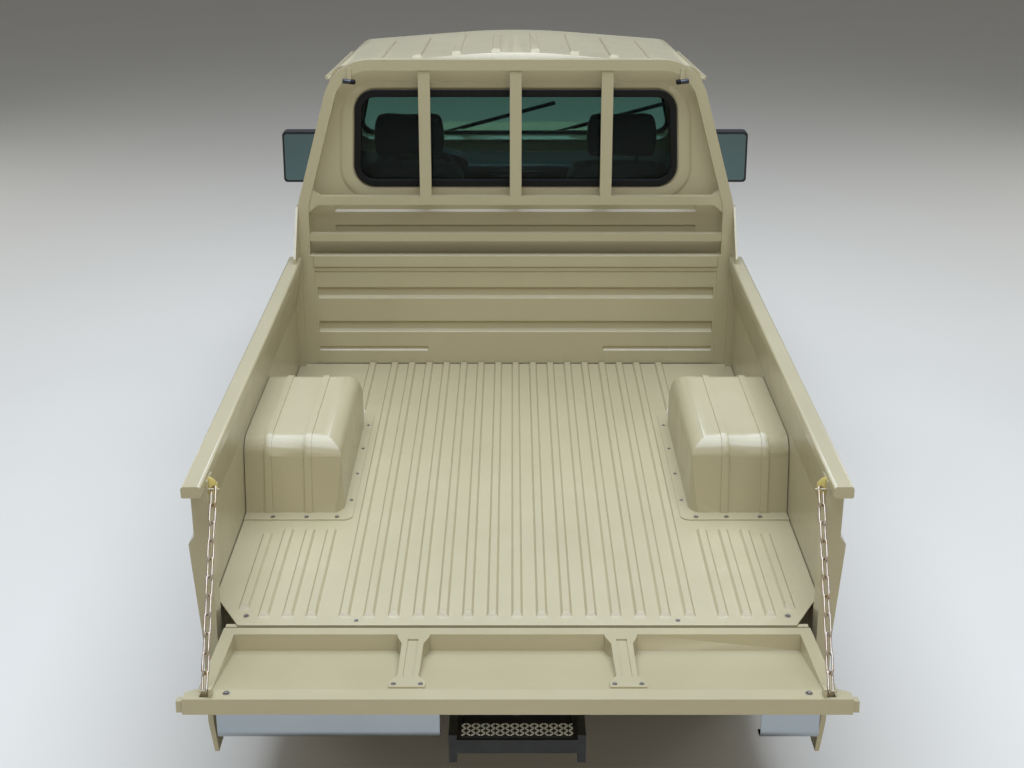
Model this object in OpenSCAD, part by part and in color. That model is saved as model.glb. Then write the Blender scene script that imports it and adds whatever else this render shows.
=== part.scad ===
// Single-cab off-road pickup truck with an open load bed, its tailgate down on two chains.
// Stations run forward from the rear end of the bed rails. All sizes are in millimetres.

/* [Overall] */
// Distance between the axles
wheelbase = 3180; // [3140:10:3220]
// Distance from the front axle to the front bumper
nose_reach = 810; // [790:10:850]
// Height of the bed rail's top
rail_z = 1185; // [1175:1:1195]
// Height of the bed floor
floor_z = 742; // [738:1:748]
// Height of the roof at its rear edge
roof_z = 1956; // [1946:1:1966]

/* [Bed] */
// Length of the bed rails
rail_len = 2219; // [2200:1:2230]
// Outer half width over the rails
rail_out = 873; // [868:1:878]
// Width of a rail's top
rail_w = 52; // [46:1:58]
// Depth of a rail
rail_t = 32; // [28:1:34]
// Half width of the bed floor
bed_half = 850; // [846:1:852]
// Distance between the floor ribs
rib_pitch = 68; // [64:1:70]
// Width of a floor rib at its foot
rib_w = 34; // [28:1:38]
// Height of a floor rib
rib_h = 10; // [6:1:14]
// Height of the wheelhouses above the floor
house_h = 237; // [225:1:245]

/* [Tailgate] */
// Length of the tailgate from its hinge line to its free edge
gate_reach = 426; // [416:1:428]
// Thickness of the tailgate
gate_t = 52; // [46:1:54]
// Angle of the open tailgate above the horizontal
gate_tilt = 5; // [3:0.5:7]
// Diameter of the chain wire
wire_d = 6; // [5:0.5:6.5]

/* [Guard] */
// Height of the guard hoop above the rails
guard_h = 750; // [735:1:760]
// Width of the guard's tubes
tube_w = 40; // [36:1:44]
// Width of the guard's upright bars
bar_w = 44; // [36:1:48]

/* [Cab] */
// Half width of the cab below its windows
cab_half = 845; // [840:1:848]
// Thickness of the cab walls
cab_wall = 40; // [38:1:44]
// Gap round the doors
door_gap = 7; // [6:0.5:8]
// Number of roof ribs
roof_ribs = 8; // [4:2:8]
// Angle by which the roof falls to the front
roof_fall = 3.6; // [2.6:0.1:4.2]

/* [Wheels] */
// Radius of a tyre to its tread
tyre_r = 400; // [392:1:404]
// Width of a tyre
tyre_w = 207; // [196:1:212]
// Distance between the front tyres' middles
track_f = 1515; // [1505:1:1525]
// Distance between the rear tyres' middles
track_r = 1460; // [1450:1:1470]
// Radius of the wheel arches
arch_r = 466; // [462:1:474]

/* [Hidden] */
$fn = 64;

rear_s = 1230;
front_s = rear_s + wheelbase;
body_len = front_s + nose_reach;
axle_z = tyre_r;
rail_in = rail_out - rail_w;
pillar_s = 79;
bed_end = rail_len + 21;
sheet = 4;
// Chassis levels
frame_lo = 530;
frame_hi = 650;
frame_in = 425;
frame_out = 495;
nose_in = 335;
nose_out = 405;
frame_end = body_len - 100;
neck_s = front_s - 1460;
// Tailgate hinge line and its plate, in its own axes: rearward is -y and its inner face looks up
gate_s = 50;
gate_z = floor_z - 18;
gate_top = 18;
gate_low = gate_top - gate_t;
gate_foot = 14;
lip_t = gate_t - 11;
gate_end = gate_s - gate_reach * cos(gate_tilt) + (gate_top - lip_t) * sin(gate_tilt);
y_mid = (body_len + gate_end) / 2;
// Chain ends on the bed pillar and on the tailgate
eye = [rail_in - 17, 92, rail_z - 42];
hook_u = gate_reach - 21;
hook_n = 26;
hook = [
  774,
  gate_s - hook_u * cos(gate_tilt) + hook_n * sin(gate_tilt),
  gate_z + hook_u * sin(gate_tilt) + hook_n * cos(gate_tilt)
];
chain_links = 11;
upper_links = 6;
link_pitch = norm(hook - eye) / chain_links;
link_w = 24;
// Pins that hold the chain's end links
pin_r = 2.5;
pin_set = (pin_r + 1.4) * unit(hook - eye);
eye_pin = eye + pin_set;
hook_pin = hook - pin_set;
// Cab
cab_s = rail_len + 111;
screen_s = front_s - 525;
cab_len = screen_s - cab_s;
sill_z = 480;
sill_top = 558;
deck_z = 690;
belt_z = roof_z - 701;
door_rear = cab_s + 0.30868 * cab_len;
door_front = cab_s + 0.96142 * cab_len;
hinge_s = door_front + 3;
hinge_x = cab_half + 7;
door_hinges = [690, 1080];
barrel_h = 34;
barrel_r = 7;
screen_z = belt_z + 50;
screen_lean = 0.6443;
screen_turn = 90 + atan(screen_lean);
screen_top = 631 - 26 * roof_fall;
wiper_x = [-396, 130];
gutter_z = roof_z - 111;
pillar_w = 89;
window_z = roof_z - 518;
window_h = 372;
window_w = 1246;
seal_w = 28;
// Steering pivots
king_x = track_f / 2 - 97.5;
ball_r = 78;
spindle_r = 28;
// Front end
nose_s = body_len - 160;
bonnet_half = 690;
lid_s = screen_s + 8;
lid_z = screen_z - 1;
arm_z = rail_z + 2;
body = [0.78, 0.72, 0.58];
black = [0.08, 0.08, 0.09];
steel = [0.35, 0.35, 0.37];
chrome = [0.85, 0.86, 0.88];
zinc = [0.72, 0.62, 0.35];
glass = [0.55, 0.68, 0.66, 0.5];

function unit(v) = v / norm(v);
function wrap(i, n) = (i % n + n) % n;

// Tangent points, arc centre and turn of corner i of an outline of [x, y, radius] points
function corner(p, i) =
  let (
    n = len(p), a = p[wrap(i - 1, n)], b = p[i], c = p[wrap(i + 1, n)],
    u = unit([a.x - b.x, a.y - b.y]), v = unit([c.x - b.x, c.y - b.y]),
    half = acos(u * v) / 2, reach = b[2] / tan(half)
  )
  [
    [b.x, b.y] + u * reach,
    [b.x, b.y] + v * reach,
    [b.x, b.y] + unit(u + v) * b[2] / sin(half),
    u.x * v.y - u.y * v.x
  ];

// The same outline drawn in by d, for an outline that runs counterclockwise
function inset(p, d) = [
  for (i = [0:len(p) - 1])
    let (
      n = len(p), a = p[wrap(i - 1, n)], b = p[i], c = p[wrap(i + 1, n)],
      e = unit([b.x - a.x, b.y - a.y]), f = unit([c.x - b.x, c.y - b.y]),
      ne = [-e.y, e.x], nf = [-f.y, f.x],
      q = [b.x, b.y] + (ne + nf) * d / (1 + ne * nf),
      turn = e.x * f.y - e.y * f.x
    )
    [q.x, q.y, b[2] == 0 ? 0 : max(b[2] + (turn > 0 ? -d : d), 1)]
];

function rect(x0, x1, y0, y1, r) = [[x0, y0, r], [x1, y0, r], [x1, y1, r], [x0, y1, r]];

// Points along a wide arc between two tangent points
function arc(c, p, q, n) =
  let (a = atan2(p.y - c.y, p.x - c.x), b = atan2(q.y - c.y, q.x - c.x), d = wrap(b - a + 180, 360) - 180)
  [for (i = [0:n]) c + norm(p - c) * [cos(a + d * i / n), sin(a + d * i / n)]];

// Outline with true arcs at its corners, and stepped arcs where the radius is wide
module rounded(p) {
  wide = 250;
  q = [for (i = [0:len(p) - 1]) corner(p, i)];
  flat = [
    for (i = [0:len(p) - 1])
      each p[i][2] > wide ? arc(q[i][2], q[i][0], q[i][1], 8)
        : p[i][2] > 0 ? [q[i][0], q[i][1]] : [[p[i].x, p[i].y]]
  ];
  difference() {
    union() {
      polygon(flat);
      for (i = [0:len(p) - 1])
        if (p[i][2] > 0 && p[i][2] <= wide && q[i][3] < 0) translate(q[i][2]) circle(r = p[i][2]);
    }
    for (i = [0:len(p) - 1])
      if (p[i][2] > 0 && p[i][2] <= wide && q[i][3] > 0) translate(q[i][2]) circle(r = p[i][2]);
  }
}

// Extrusions of an outline drawn in the plane across the named axis
module along_x(x0, x1) translate([x0, 0, 0]) rotate([90, 0, 90]) linear_extrude(x1 - x0) children();
module along_y(y0, y1) translate([0, y1, 0]) rotate([90, 0, 0]) linear_extrude(y1 - y0) children();
module along_z(z0, z1) translate([0, 0, z0]) linear_extrude(z1 - z0) children();

module block(x0, x1, y0, y1, z0, z1) translate([x0, y0, z0]) cube([x1 - x0, y1 - y0, z1 - z0]);

module pair() {
  children();
  mirror([1, 0, 0]) children();
}

module rod(p, q, r) {
  v = q - p;
  translate(p) rotate([0, acos(v.z / norm(v)), atan2(v.y, v.x)]) cylinder(h = norm(v), r = r);
}

// Round bar across the truck
module bar_x(x0, x1, s, z, r) translate([x0, s, z]) rotate([0, 90, 0]) cylinder(h = x1 - x0, r = r);

// Running gear

module chassis_rails() color(black) pair() along_z(frame_lo, frame_hi) polygon([
  [frame_in, 120], [frame_out, 120], [frame_out, neck_s], [nose_out, neck_s + 400], [nose_out, frame_end],
  [nose_in, frame_end], [nose_in, neck_s + 400], [frame_in, neck_s]
]);

module cross_members() color(black) {
  // station, half width and depth of each frame member
  frame_rows = [[150, frame_in, 60], [720, frame_in, 50], [1720, frame_in, 50], [2450, frame_in, 60]];
  for (row = frame_rows) block(-row[1], row[1], row[0], row[0] + row[2], frame_lo, frame_hi - 10);
  block(-nose_in, nose_in, nose_s - 60, nose_s - 10, frame_lo, frame_hi);
  // beams under the bed floor
  for (s = [300, 620, 1720, 2120]) block(-780, 780, s, s + 60, frame_hi, floor_z - 5);
}

module engine_block() color(steel) {
  engine_z = 570;
  difference() {
    union() {
      block(-230, 230, front_s - 330, front_s + 470, engine_z, 1040);
      block(-150, 150, front_s - 1110, front_s - 330, 440, 680);
      pair() block(230, nose_in, front_s - 110, front_s - 50, engine_z, engine_z + 40);
    }
    block(60, 400, front_s - 160, front_s + 160, 400, engine_z + 6);
  }
  // radiator behind the grille
  block(-320, 320, nose_s - 100.3, nose_s - 60.3, frame_hi, 1090);
}

module front_axle() color(black) {
  bar_x(-king_x + 60, king_x - 60, front_s, axle_z, 42);
  pair() {
    translate([king_x, front_s, axle_z]) sphere(r = ball_r);
    translate([king_x, front_s, axle_z - 112]) cylinder(h = 224, r = 14);
    // radius arm to its bracket under the chassis rail
    along_x(347, 387) polygon([
      [front_s + 30, axle_z - 20], [front_s + 30, axle_z + 20], [front_s - 730, 520],
      [front_s - 730, frame_lo],
      [front_s - 790, frame_lo], [front_s - 790, 480]
    ]);
    // spring, damper and its seat on the chassis rail
    translate([480, front_s, axle_z + 20]) cylinder(h = frame_hi - axle_z - 30, r = 52);
    block(nose_out, 540, front_s - 60, front_s + 60, frame_hi - 30, frame_hi - 8);
  }
  translate([220, front_s, axle_z]) rotate([0, 90, 0]) sphere(r = 140);
  rod([220, front_s - 100, axle_z], [220, front_s - 210, axle_z], 50);
}

module rear_axle() color(black) {
  bar_x(-track_r / 2 + 60, track_r / 2 - 60, rear_s, axle_z, 44);
  translate([0, rear_s, axle_z]) rotate([0, 90, 0]) sphere(r = 150);
  rod([0, rear_s + 100, 450], [0, rear_s + 200, 450], 50);
  pair() {
    bar_x(track_r / 2 - 115, track_r / 2 - 35, rear_s, axle_z, 150);
    bar_x(track_r / 2 - 60, track_r / 2 + 40, rear_s, axle_z, spindle_r);
  }
}

// Leaf of a rear spring: a band along a shallow curve
function leaf_z(s) = axle_z + 46 + 45 * pow((s - rear_s) / 640, 2);

module leaf(reach, low, high) {
  steps = 12;
  s = [for (i = [0:steps]) rear_s - reach + 2 * reach * i / steps];
  polygon(concat([for (v = s) [v, leaf_z(v) + low]], [for (i = [steps:-1:0]) [s[i], leaf_z(s[i]) + high]]));
}

module leaf_springs() color(black) pair() {
  along_x(440, 500) {
    leaf(640, 27, 37);
    leaf(470, 14, 28);
    leaf(300, 0, 15);
  }
  for (s = [rear_s - 640, rear_s + 590]) block(445, 490, s, s + 50, leaf_z(s) + 30, frame_lo);
}

module drive_shafts() color(steel) {
  rod([0, rear_s + 200, 450], [0, front_s - 1110, 450], 34);
  rod([220, front_s - 850, axle_z], [220, front_s - 210, axle_z], 28);
  // transfer case side outlet
  block(150, 260, front_s - 970, front_s - 850, 370, 520);
}

module fuel_tank() color(black) {
  intersection() {
    along_y(1740, 2280) rounded(rect(505, 790, 410, 640, 30));
    along_z(400, 650) rounded(rect(505, 790, 1740, 2280, 40));
  }
  for (s = [1850, 2150]) block(frame_out, 512, s, s + 40, 560, 620);
}

module exhaust() color(steel) {
  pipe_x = -270;
  pipe_z = 485;
  rod([pipe_x, front_s - 330, pipe_z], [pipe_x, 3020, pipe_z], 24);
  rod([pipe_x, 3020, pipe_z], [pipe_x, 2530, pipe_z], 72);
  rod([pipe_x, 2530, pipe_z], [pipe_x, 560, pipe_z], 24);
  for (s = [735, 1735, 2470]) block(pipe_x - 8, pipe_x + 8, s, s + 20, pipe_z + 10, frame_lo);
  block(pipe_x - 20, -230, front_s - 350, front_s - 310, pipe_z + 10, 600);
}

// Steering knuckle: a cup round the axle's ball, with the wheel spindle and an arm
module knuckle() {
  color(steel) difference() {
    union() {
      intersection() {
        translate([king_x, front_s, axle_z]) sphere(r = ball_r + 22);
        block(king_x - 18, king_x + 140, front_s - 140, front_s + 140, axle_z - 140, axle_z + 140);
      }
      bar_x(king_x + 84, track_f / 2 + 40, front_s, axle_z, spindle_r);
      block(king_x - 10, king_x + 30, front_s - 168, front_s - 84, axle_z - 30, axle_z - 8);
    }
    translate([king_x, front_s, axle_z]) sphere(r = ball_r + 6);
    translate([king_x, front_s, axle_z - 150]) cylinder(h = 300, r = 14.3);
  }
}

// Wheels, drawn round the x axis with the outer face at +x

module turn_x() rotate([0, 90, 0]) rotate_extrude($fn = 96) children();

module rim_shape(bore = spindle_r + 0.3) color(body) difference() {
  union() {
    turn_x() {
      translate([188, -80]) square([12, 160]);
      for (x = [-86, 78]) translate([188, x]) square([34, 8]);
      polygon([[bore, 42], [100, 42], [190, 14], [190, 24], [104, 52], [bore, 52]]);
      translate([bore, 30]) square([72 - bore, 52]);
    }
    translate([74, 0, 0]) rotate([0, 90, 0]) cylinder(h = 8, r = 60);
  }
  for (a = [0:45:315]) rotate([a, 0, 0]) translate([0, 0, 146]) rotate([0, 90, 0]) cylinder(h = 200, r = 15);
}

module tyre_shape() color(black) turn_x() rounded([
  [200.3, -77, 0], [224, -77, 0], [300, -tyre_w / 2 - 3, 70], [tyre_r - 12, -tyre_w / 2 + 6, 24],
  [tyre_r, -tyre_w / 2 + 40, 60], [tyre_r, tyre_w / 2 - 40, 60], [tyre_r - 12, tyre_w / 2 - 6, 24],
  [300, tyre_w / 2 + 3, 70], [224, 77, 0], [200.3, 77, 0]
]);

module at_wheel(side, s, track) translate([side * track / 2, s, axle_z]) scale([side, 1, 1]) children();

// Load bed

// Rows of pressed floor ribs between two stations, at the given offsets
module rib_rows(offsets, s0, s1) {
  slope = (rib_w - 20) / 2;
  intersection() {
    along_y(s0, s1) for (x = offsets) polygon([
      [x - rib_w / 2, floor_z - 2], [x + rib_w / 2, floor_z - 2], [x + rib_w / 2 - slope, floor_z + rib_h],
      [x - rib_w / 2 + slope, floor_z + rib_h]
    ]);
    along_x(-bed_half, bed_half) polygon([
      [s0, floor_z - 2], [s1, floor_z - 2], [s1 - 12, floor_z + rib_h], [s0 + 12, floor_z + rib_h]
    ]);
  }
}

module bed_floor() color(body) {
  side_ribs = [567, 632, 698];
  difference() {
    union() {
      along_z(floor_z - 5, floor_z) polygon([
        [-762, pillar_s], [762, pillar_s], [bed_half - 2, 250], [bed_half - 2, bed_end],
        [2 - bed_half, bed_end],
        [2 - bed_half, 250]
      ]);
      rib_rows([for (i = [-7:7]) i * rib_pitch], 124, bed_end);
      rib_rows([-563, 563], rear_s + 473, bed_end);
      rib_rows([for (x = side_ribs) each [-x, x]], 124, rear_s - 540);
      rib_rows([-758, 758], 170, rear_s - 570);
      // rear sill
      block(-795, 795, pillar_s, pillar_s + 16, 560, floor_z - 5);
      block(-762, 762, pillar_s, pillar_s + 16, floor_z - 6, floor_z);
    }
    pair() block(560, bed_half, rear_s - 415, rear_s + 405, floor_z - 20, floor_z + 20);
  }
  // tailgate hinge eyes on the sill
  pair() for (x = [300, 640]) for (d = [-45, 16]) difference() {
    union() {
      bar_x(x + d, x + d + 29, gate_s, gate_z, 11);
      block(x + d, x + d + 29, gate_s - 8, gate_s + 8, gate_z - 45, gate_z);
      block(x + d, x + d + 29, gate_s - 8, pillar_s, gate_z - 45, gate_z - 30);
    }
    bar_x(x - 60, x + 60, gate_s, gate_z, 4.3);
  }
}

module bed_sides() color(body) pair() {
  difference() {
    union() {
      along_y(pillar_s, rail_len) polygon([
        [rail_in + 2, rail_z - 36], [850, rail_z - 190], [850, rail_z - 443], [845, rail_z - 745],
        [835, rail_z - 840],
        [847, rail_z - 840], [860, rail_z - 745], [858, rail_z - 487], [875, rail_z - 260],
        [879, rail_z - 201],
        [863, rail_z - 178], [865, rail_z - 30], [865, rail_z - 20],
        [rail_in + 2, rail_z - 20]
      ]);
      along_y(0, rail_len) rounded([
        [rail_in, rail_z - rail_t, 5], [rail_out, rail_z - rail_t, 5], [rail_out, rail_z, 8],
        [rail_in, rail_z, 8]
      ]);
      // rear pillar and front flange
      block(rail_in - 3, 858, pillar_s, 150, floor_z - 250, rail_z - 20);
      block(rail_in + 3, 858, rail_len - 14, rail_len, floor_z, rail_z - 20);
    }
    bar_x(700, 1000, rear_s, axle_z, arch_r);
    block(700, 1000, rear_s - arch_r, rear_s + arch_r, 0, axle_z);
  }
  // chain eye plate and pin
  block(eye.x - 8, rail_in - 1, eye.y + 13, eye.y + 17, eye.z - 14, eye.z + 9);
  bar_x(eye.x - 16, rail_in - 1, eye_pin.y, eye_pin.z, pin_r);
}

// Outer form of a wheelhouse, grown by d
module house_form(d) {
  intersection() {
    along_x(500, bed_half - 2) rounded(inset([
      [rear_s - 430, floor_z - 60, 0], [rear_s + 420, floor_z - 60, 0], [rear_s + 410, floor_z + 80, 60],
      [rear_s + 210, floor_z + house_h, 90], [rear_s - 388, floor_z + house_h, 62]
    ], -d));
    along_y(rear_s - 530, rear_s + 570) rounded([
      [541 - d, floor_z - 60 - d, 0], [1000, floor_z - 60 - d, 0], [1000, floor_z + house_h + d, 0],
      [547 - d, floor_z + house_h + d, 62]
    ]);
    along_z(floor_z - 80, floor_z + house_h + 40) rounded([
      [541 - d, rear_s - 432 - d, 66], [1000, rear_s - 432 - d, 0], [1000, rear_s + 422 + d, 0],
      [541 - d, rear_s + 422 + d, 90]
    ]);
  }
}

module wheelhouses() color(body) pair() difference() {
  union() {
    intersection() {
      union() {
        house_form(0);
        intersection() {
          house_form(5);
          union() for (x = [651, 775]) block(x - 11, x + 11, rear_s - 530, rear_s + 570, 0, 2000);
        }
      }
      block(500, 900, rear_s - 530, rear_s + 570, floor_z, 2000);
    }
    along_z(floor_z, floor_z + 4) rounded([
      [512, rear_s - 472, 30], [bed_half - 2, rear_s - 472, 0], [bed_half - 2, rear_s + 460, 0],
      [512, rear_s + 460, 30]
    ]);
  }
  house_form(-sheet);
}

module bed_front_wall() color(body) {
  wall_s = bed_end;
  // level, half height and depth of each pressed groove
  grooves = [[rail_z - 152, 22, 12], [rail_z - 290, 22, 12]];
  difference() {
    union() {
      block(-780, 780, wall_s + 4, wall_s + 28, floor_z, rail_z);
      along_x(-780, 780) polygon([
        [wall_s + 5, rail_z - 70], [wall_s + 5, rail_z], [wall_s - 6, rail_z], [wall_s - 6, rail_z - 45],
        [wall_s, rail_z - 50], [wall_s, rail_z - 63]
      ]);
    }
    along_x(-770, 770) for (g = grooves) polygon([
      [wall_s - 1, g[0] - g[1]], [wall_s + 4, g[0] - g[1]], [wall_s + 4 + g[2], g[0] - g[1] + 8],
      [wall_s + 4 + g[2], g[0] + g[1] - 8], [wall_s + 4, g[0] + g[1]], [wall_s - 1, g[0] + g[1]]
    ]);
    pair() along_x(345, 770) polygon([
      [wall_s - 1, rail_z - 390], [wall_s + 4, rail_z - 390], [wall_s + 9, rail_z - 384],
      [wall_s + 9, rail_z - 378],
      [wall_s + 4, rail_z - 372], [wall_s - 1, rail_z - 372]
    ]);
  }
  pair() block(780, 833, wall_s, wall_s + 40, floor_z, rail_z);
}

// Guard hoop behind the rear window
leg_x = 833;
leg_h = 200;
leg_lean = 125 / 449;
hoop_out = [
  [-leg_x, rail_z, 0], [leg_x, rail_z, 0], [leg_x, rail_z + leg_h, 160],
  [leg_x - (guard_h - leg_h) * leg_lean, rail_z + guard_h, 180],
  [-leg_x + (guard_h - leg_h) * leg_lean, rail_z + guard_h, 180], [-leg_x, rail_z + leg_h, 160]
];

module guard_frame() color(body) {
  s0 = bed_end;
  s1 = bed_end + tube_w;
  inner = inset(hoop_out, tube_w);
  along_y(s0, s1) difference() {
    rounded(hoop_out);
    union() {
      rounded(inner);
      translate([-leg_x + tube_w, rail_z - 50]) square([2 * (leg_x - tube_w), 150]);
    }
  }
  // crossbars with corner gussets
  along_y(s0 + 6, s1 - 6) {
    polygon([
      [-leg_x + 20, rail_z + 150], [-leg_x + 75, rail_z + 197], [leg_x - 75, rail_z + 197],
      [leg_x - 20, rail_z + 150],
      [leg_x - 36, rail_z + 268], [leg_x - 86, rail_z + 231], [-leg_x + 86, rail_z + 231],
      [-leg_x + 36, rail_z + 268]
    ]);
    polygon([
      [-leg_x + 20, rail_z + 54], [leg_x - 20, rail_z + 54], [leg_x - 20, rail_z + 84],
      [-leg_x + 20, rail_z + 84]
    ]);
    for (x = [-343, 0, 343]) translate([x - bar_w / 2, rail_z + 220]) square([bar_w, guard_h - 230]);
  }
  // side stays on the rails
  pair() along_x(leg_x, leg_x + 8) polygon([
    [rail_len + 4, rail_z - 106], [s1, rail_z - 106], [s1, rail_z + 191], [s0, rail_z + 191],
    [rail_len - 109, rail_z + 20], [rail_len - 109, rail_z], [rail_len + 4, rail_z]
  ]);
  // short pins near the upper corners
  pair() rod([640, s0 - 6, rail_z + 672], [600, s0 - 6, rail_z + 668], 6);
  pair() block(612, 628, s0 - 8, s0 + 20, rail_z + 668, rail_z + 720);
}

// Tailgate in its own axes, turned to rest on its chains
module gate_place() translate([0, gate_s, gate_z]) rotate([-gate_tilt, 0, 0]) children();

module tailgate() color(body) {
  gate_place() gate_plate();
  pair() bar_x(756, 788, hook_pin.y, hook_pin.z, pin_r);
}

module gate_plate() {
  foot_half = 796;
  end_half = 827;
  tray_y = -gate_reach + 62;
  bracket_x = [-278, 278];
  difference() {
    union() {
      along_z(gate_low, gate_top) polygon([
        [-foot_half, gate_foot], [-foot_half, 60 - gate_reach], [-end_half, 40 - gate_reach],
        [-end_half, -gate_reach],
        [end_half, -gate_reach], [end_half, 40 - gate_reach], [foot_half, 60 - gate_reach],
        [foot_half, gate_foot]
      ]);
      pair() block(end_half, end_half + 16, 6 - gate_reach, 32 - gate_reach, gate_low + 14, gate_top - 8);
    }
    // the underside rises to the free edge
    along_x(-900, 900) polygon([
      [-200, gate_low], [-gate_reach - 2, gate_top - lip_t + 2 * (gate_t - lip_t) / (gate_reach - 200)],
      [-gate_reach - 2, gate_low - 8], [-200, gate_low - 8]
    ]);
    // inner tray: deep at the hinge, rising to the free edge, with two brackets left across it
    difference() {
      along_x(-foot_half + 34, foot_half - 34) polygon([
        [-30, gate_top + 1], [-34, gate_low + 6], [-50, gate_low + 6], [tray_y, gate_top - 3],
        [tray_y - 8, gate_top + 1]
      ]);
      for (x = bracket_x) along_z(gate_low, gate_top) polygon([
        [x - 45, -20], [x + 45, -20], [x + 42, -48], [x + 29, -88], [x + 27, tray_y + 74],
        [x + 46, tray_y + 44], [x + 46, tray_y + 10], [x - 46, tray_y + 10], [x - 46, tray_y + 44],
        [x - 27, tray_y + 74], [x - 29, -88], [x - 42, -48]
      ]);
    }
    for (x = bracket_x) block(x - 14, x + 14, tray_y + 70, -60, gate_top - 5, gate_top + 1);
    // chain slots
    pair() block(764, 786, -hook_u - 9, -hook_u + 18, gate_top - 16, gate_top + 1);
    // room for the hinge eyes under the top skin
    pair() for (x = [300, 640]) block(x - 52, x + 52, -17, gate_foot + 1, gate_low - 1, gate_top - 5);
  }
  // hinge eyes with their pins
  pair() for (x = [300, 640]) {
    bar_x(x - 15, x + 15, 0, 0, 11);
    block(x - 15, x + 15, -20, 0, -9, 9);
    bar_x(x - 44, x + 44, 0, 0, 4);
  }
  // chain hook on the free edge
  pair() block(754, 762, -hook_u - 12, -hook_u + 12, gate_top - 2, hook_n + 14);
}

// One chain link along z, centred on the origin
module link_shape() {
  half = link_pitch / 2 + 0.2 - link_w / 2 + wire_d;
  bend = (link_w - wire_d) / 2;
  lap = 0.4;
  for (x = [-bend, bend]) translate([x, 0, -half - lap])
    cylinder(h = 2 * (half + lap), r = wire_d / 2 + 0.06, $fn = 32);
  for (t = [0, 1]) mirror([0, 0, t]) translate([0, 0, half]) rotate([90, 0, 0])
    rotate_extrude(angle = 180, $fn = 32) translate([bend, 0]) circle(r = wire_d / 2, $fn = 32);
}

// Links first to last of the taut chain, every other one turned a quarter round
module chain_run(first, last) color(zinc) pair() {
  v = hook - eye;
  translate(eye) rotate([0, acos(v.z / norm(v)), atan2(v.y, v.x)])
    for (i = [first:last]) translate([0, 0, (i + 0.5) * link_pitch])
      rotate([0, 0, i % 2 == 0 ? 45 : 135]) link_shape();
}

module rear_bumpers() color(chrome) for (x = [[-812, -209], [659, 817]]) {
  along_x(x[0], x[1]) difference() {
    rounded(rect(-42, 30, 456, 566, 26));
    rounded(inset(concat(rect(-42, 30, 456, 566, 26)), 5));
    translate([6, 400]) square([60, 300]);
  }
}

module rear_step() color(black) {
  difference() {
    union() {
      block(-160, 160, -136, 60, 475, 515);
      pair() block(160, 182, -136, 60, 446, 530);
      block(-210, 210, 60, 90, 470, 556);
      block(-300, 300, 90, 150, 532, 556);
    }
    block(-150, 150, -128, 50, 495, 516);
    translate([0, 30, 460]) cylinder(h = 100, r = 12.7);
  }
  // arms of the bumpers on the chassis rail ends
  block(10 - frame_out, -frame_in - 10, -36.7, 120, 512, 538);
  block(frame_in + 10, 720, 100, 120, 512, 538);
  block(690, 720, -36.7, 101, 512, 538);
  // bright tread plate
  color(chrome) block(-149.5, 149.5, -127.5, -62, 494, 520);
}

module tail_lamps() color([0.6, 0.08, 0.06]) pair()
  along_y(48, pillar_s) rounded(rect(610, 785, 580, 672, 14));

// Cab

roof_mid_z = roof_z - 59;
cab_side = [
  [cab_s, 200, 0], [screen_s, 200, 0], [screen_s, screen_z, 0],
  [screen_s - screen_lean * (roof_z - 70 - screen_z), roof_z - 70, 210], [cab_s, roof_z + 4, 46]
];
cab_face = [
  [-838, belt_z - 255, 0], [838, belt_z - 255, 0], [838, belt_z + 7, 30], [692, roof_mid_z, 74],
  [0, roof_z, 2500],
  [-692, roof_mid_z, 74], [-838, belt_z + 7, 30]
];

// The roof line falls to the front
module fall() translate([0, cab_s, roof_z]) rotate([-roof_fall, 0, 0])
  translate([0, -cab_s, -roof_z]) children();

// Cab envelope drawn in by d
module cab_form(d) intersection() {
  along_x(-900, 900) rounded(inset(cab_side, d));
  union() {
    block(-cab_half + d, cab_half - d, 2200, 4000, 210, belt_z - d);
    fall() along_y(2200, 4100) rounded(inset(cab_face, d));
  }
}

module cab_shell(d) difference() {
  cab_form(0);
  cab_form(d);
}

module below_gutter() fall() block(-1000, 1000, 2000, 4400, 0, gutter_z);

// The passage for the chassis under the cab deck
module under_deck() block(-cab_half + cab_wall, cab_half - cab_wall, 2000, 4400, 0, deck_z);

function a_post(z) = screen_s - pillar_w - screen_lean * (z - screen_z);

// Outline of a door, drawn in by d
function door_outline(d) = [
  [door_rear + d, sill_top + 8 + d, 40], [door_front - d, sill_top + 8 + d, 40],
  [door_front - d, belt_z + 25, 0],
  [a_post(belt_z + 45) - 9 - d * 1.2, belt_z + 45, 0], [a_post(roof_z + 44) - 9 - d * 1.2, roof_z + 44, 0],
  [door_rear + d, roof_z + 44, 0]
];

// Outline of a door window
function glass_outline(d) =
  let (lo = belt_z + 28 + d, hi = gutter_z - 88 - d)
  [
    [door_rear + 78 + d, lo, 30], [a_post(lo) - 80 - d * 1.2, lo, 30],
    [a_post(hi) - 80 - d * 1.2, hi - 34, 40],
    [door_rear + 78 + d, hi, 50]
  ];

module windscreen_plane() translate([0, screen_s, screen_z]) rotate([screen_turn, 0, 0]) children();

function screen_outline(d) = [
  [-738 + d, 34 + d, 60], [738 - d, 34 + d, 60], [640 - d, screen_top - d, 70],
  [-640 + d, screen_top - d, 70]
];

function rear_outline(d) = [
  [-window_w / 2 + d, window_z + d, 80 - d], [window_w / 2 - d, window_z + d, 80 - d],
  [window_w / 2 - 14 - d, window_z + window_h - d, 80 - d],
  [14 - window_w / 2 + d, window_z + window_h - d, 80 - d]
];

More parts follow.
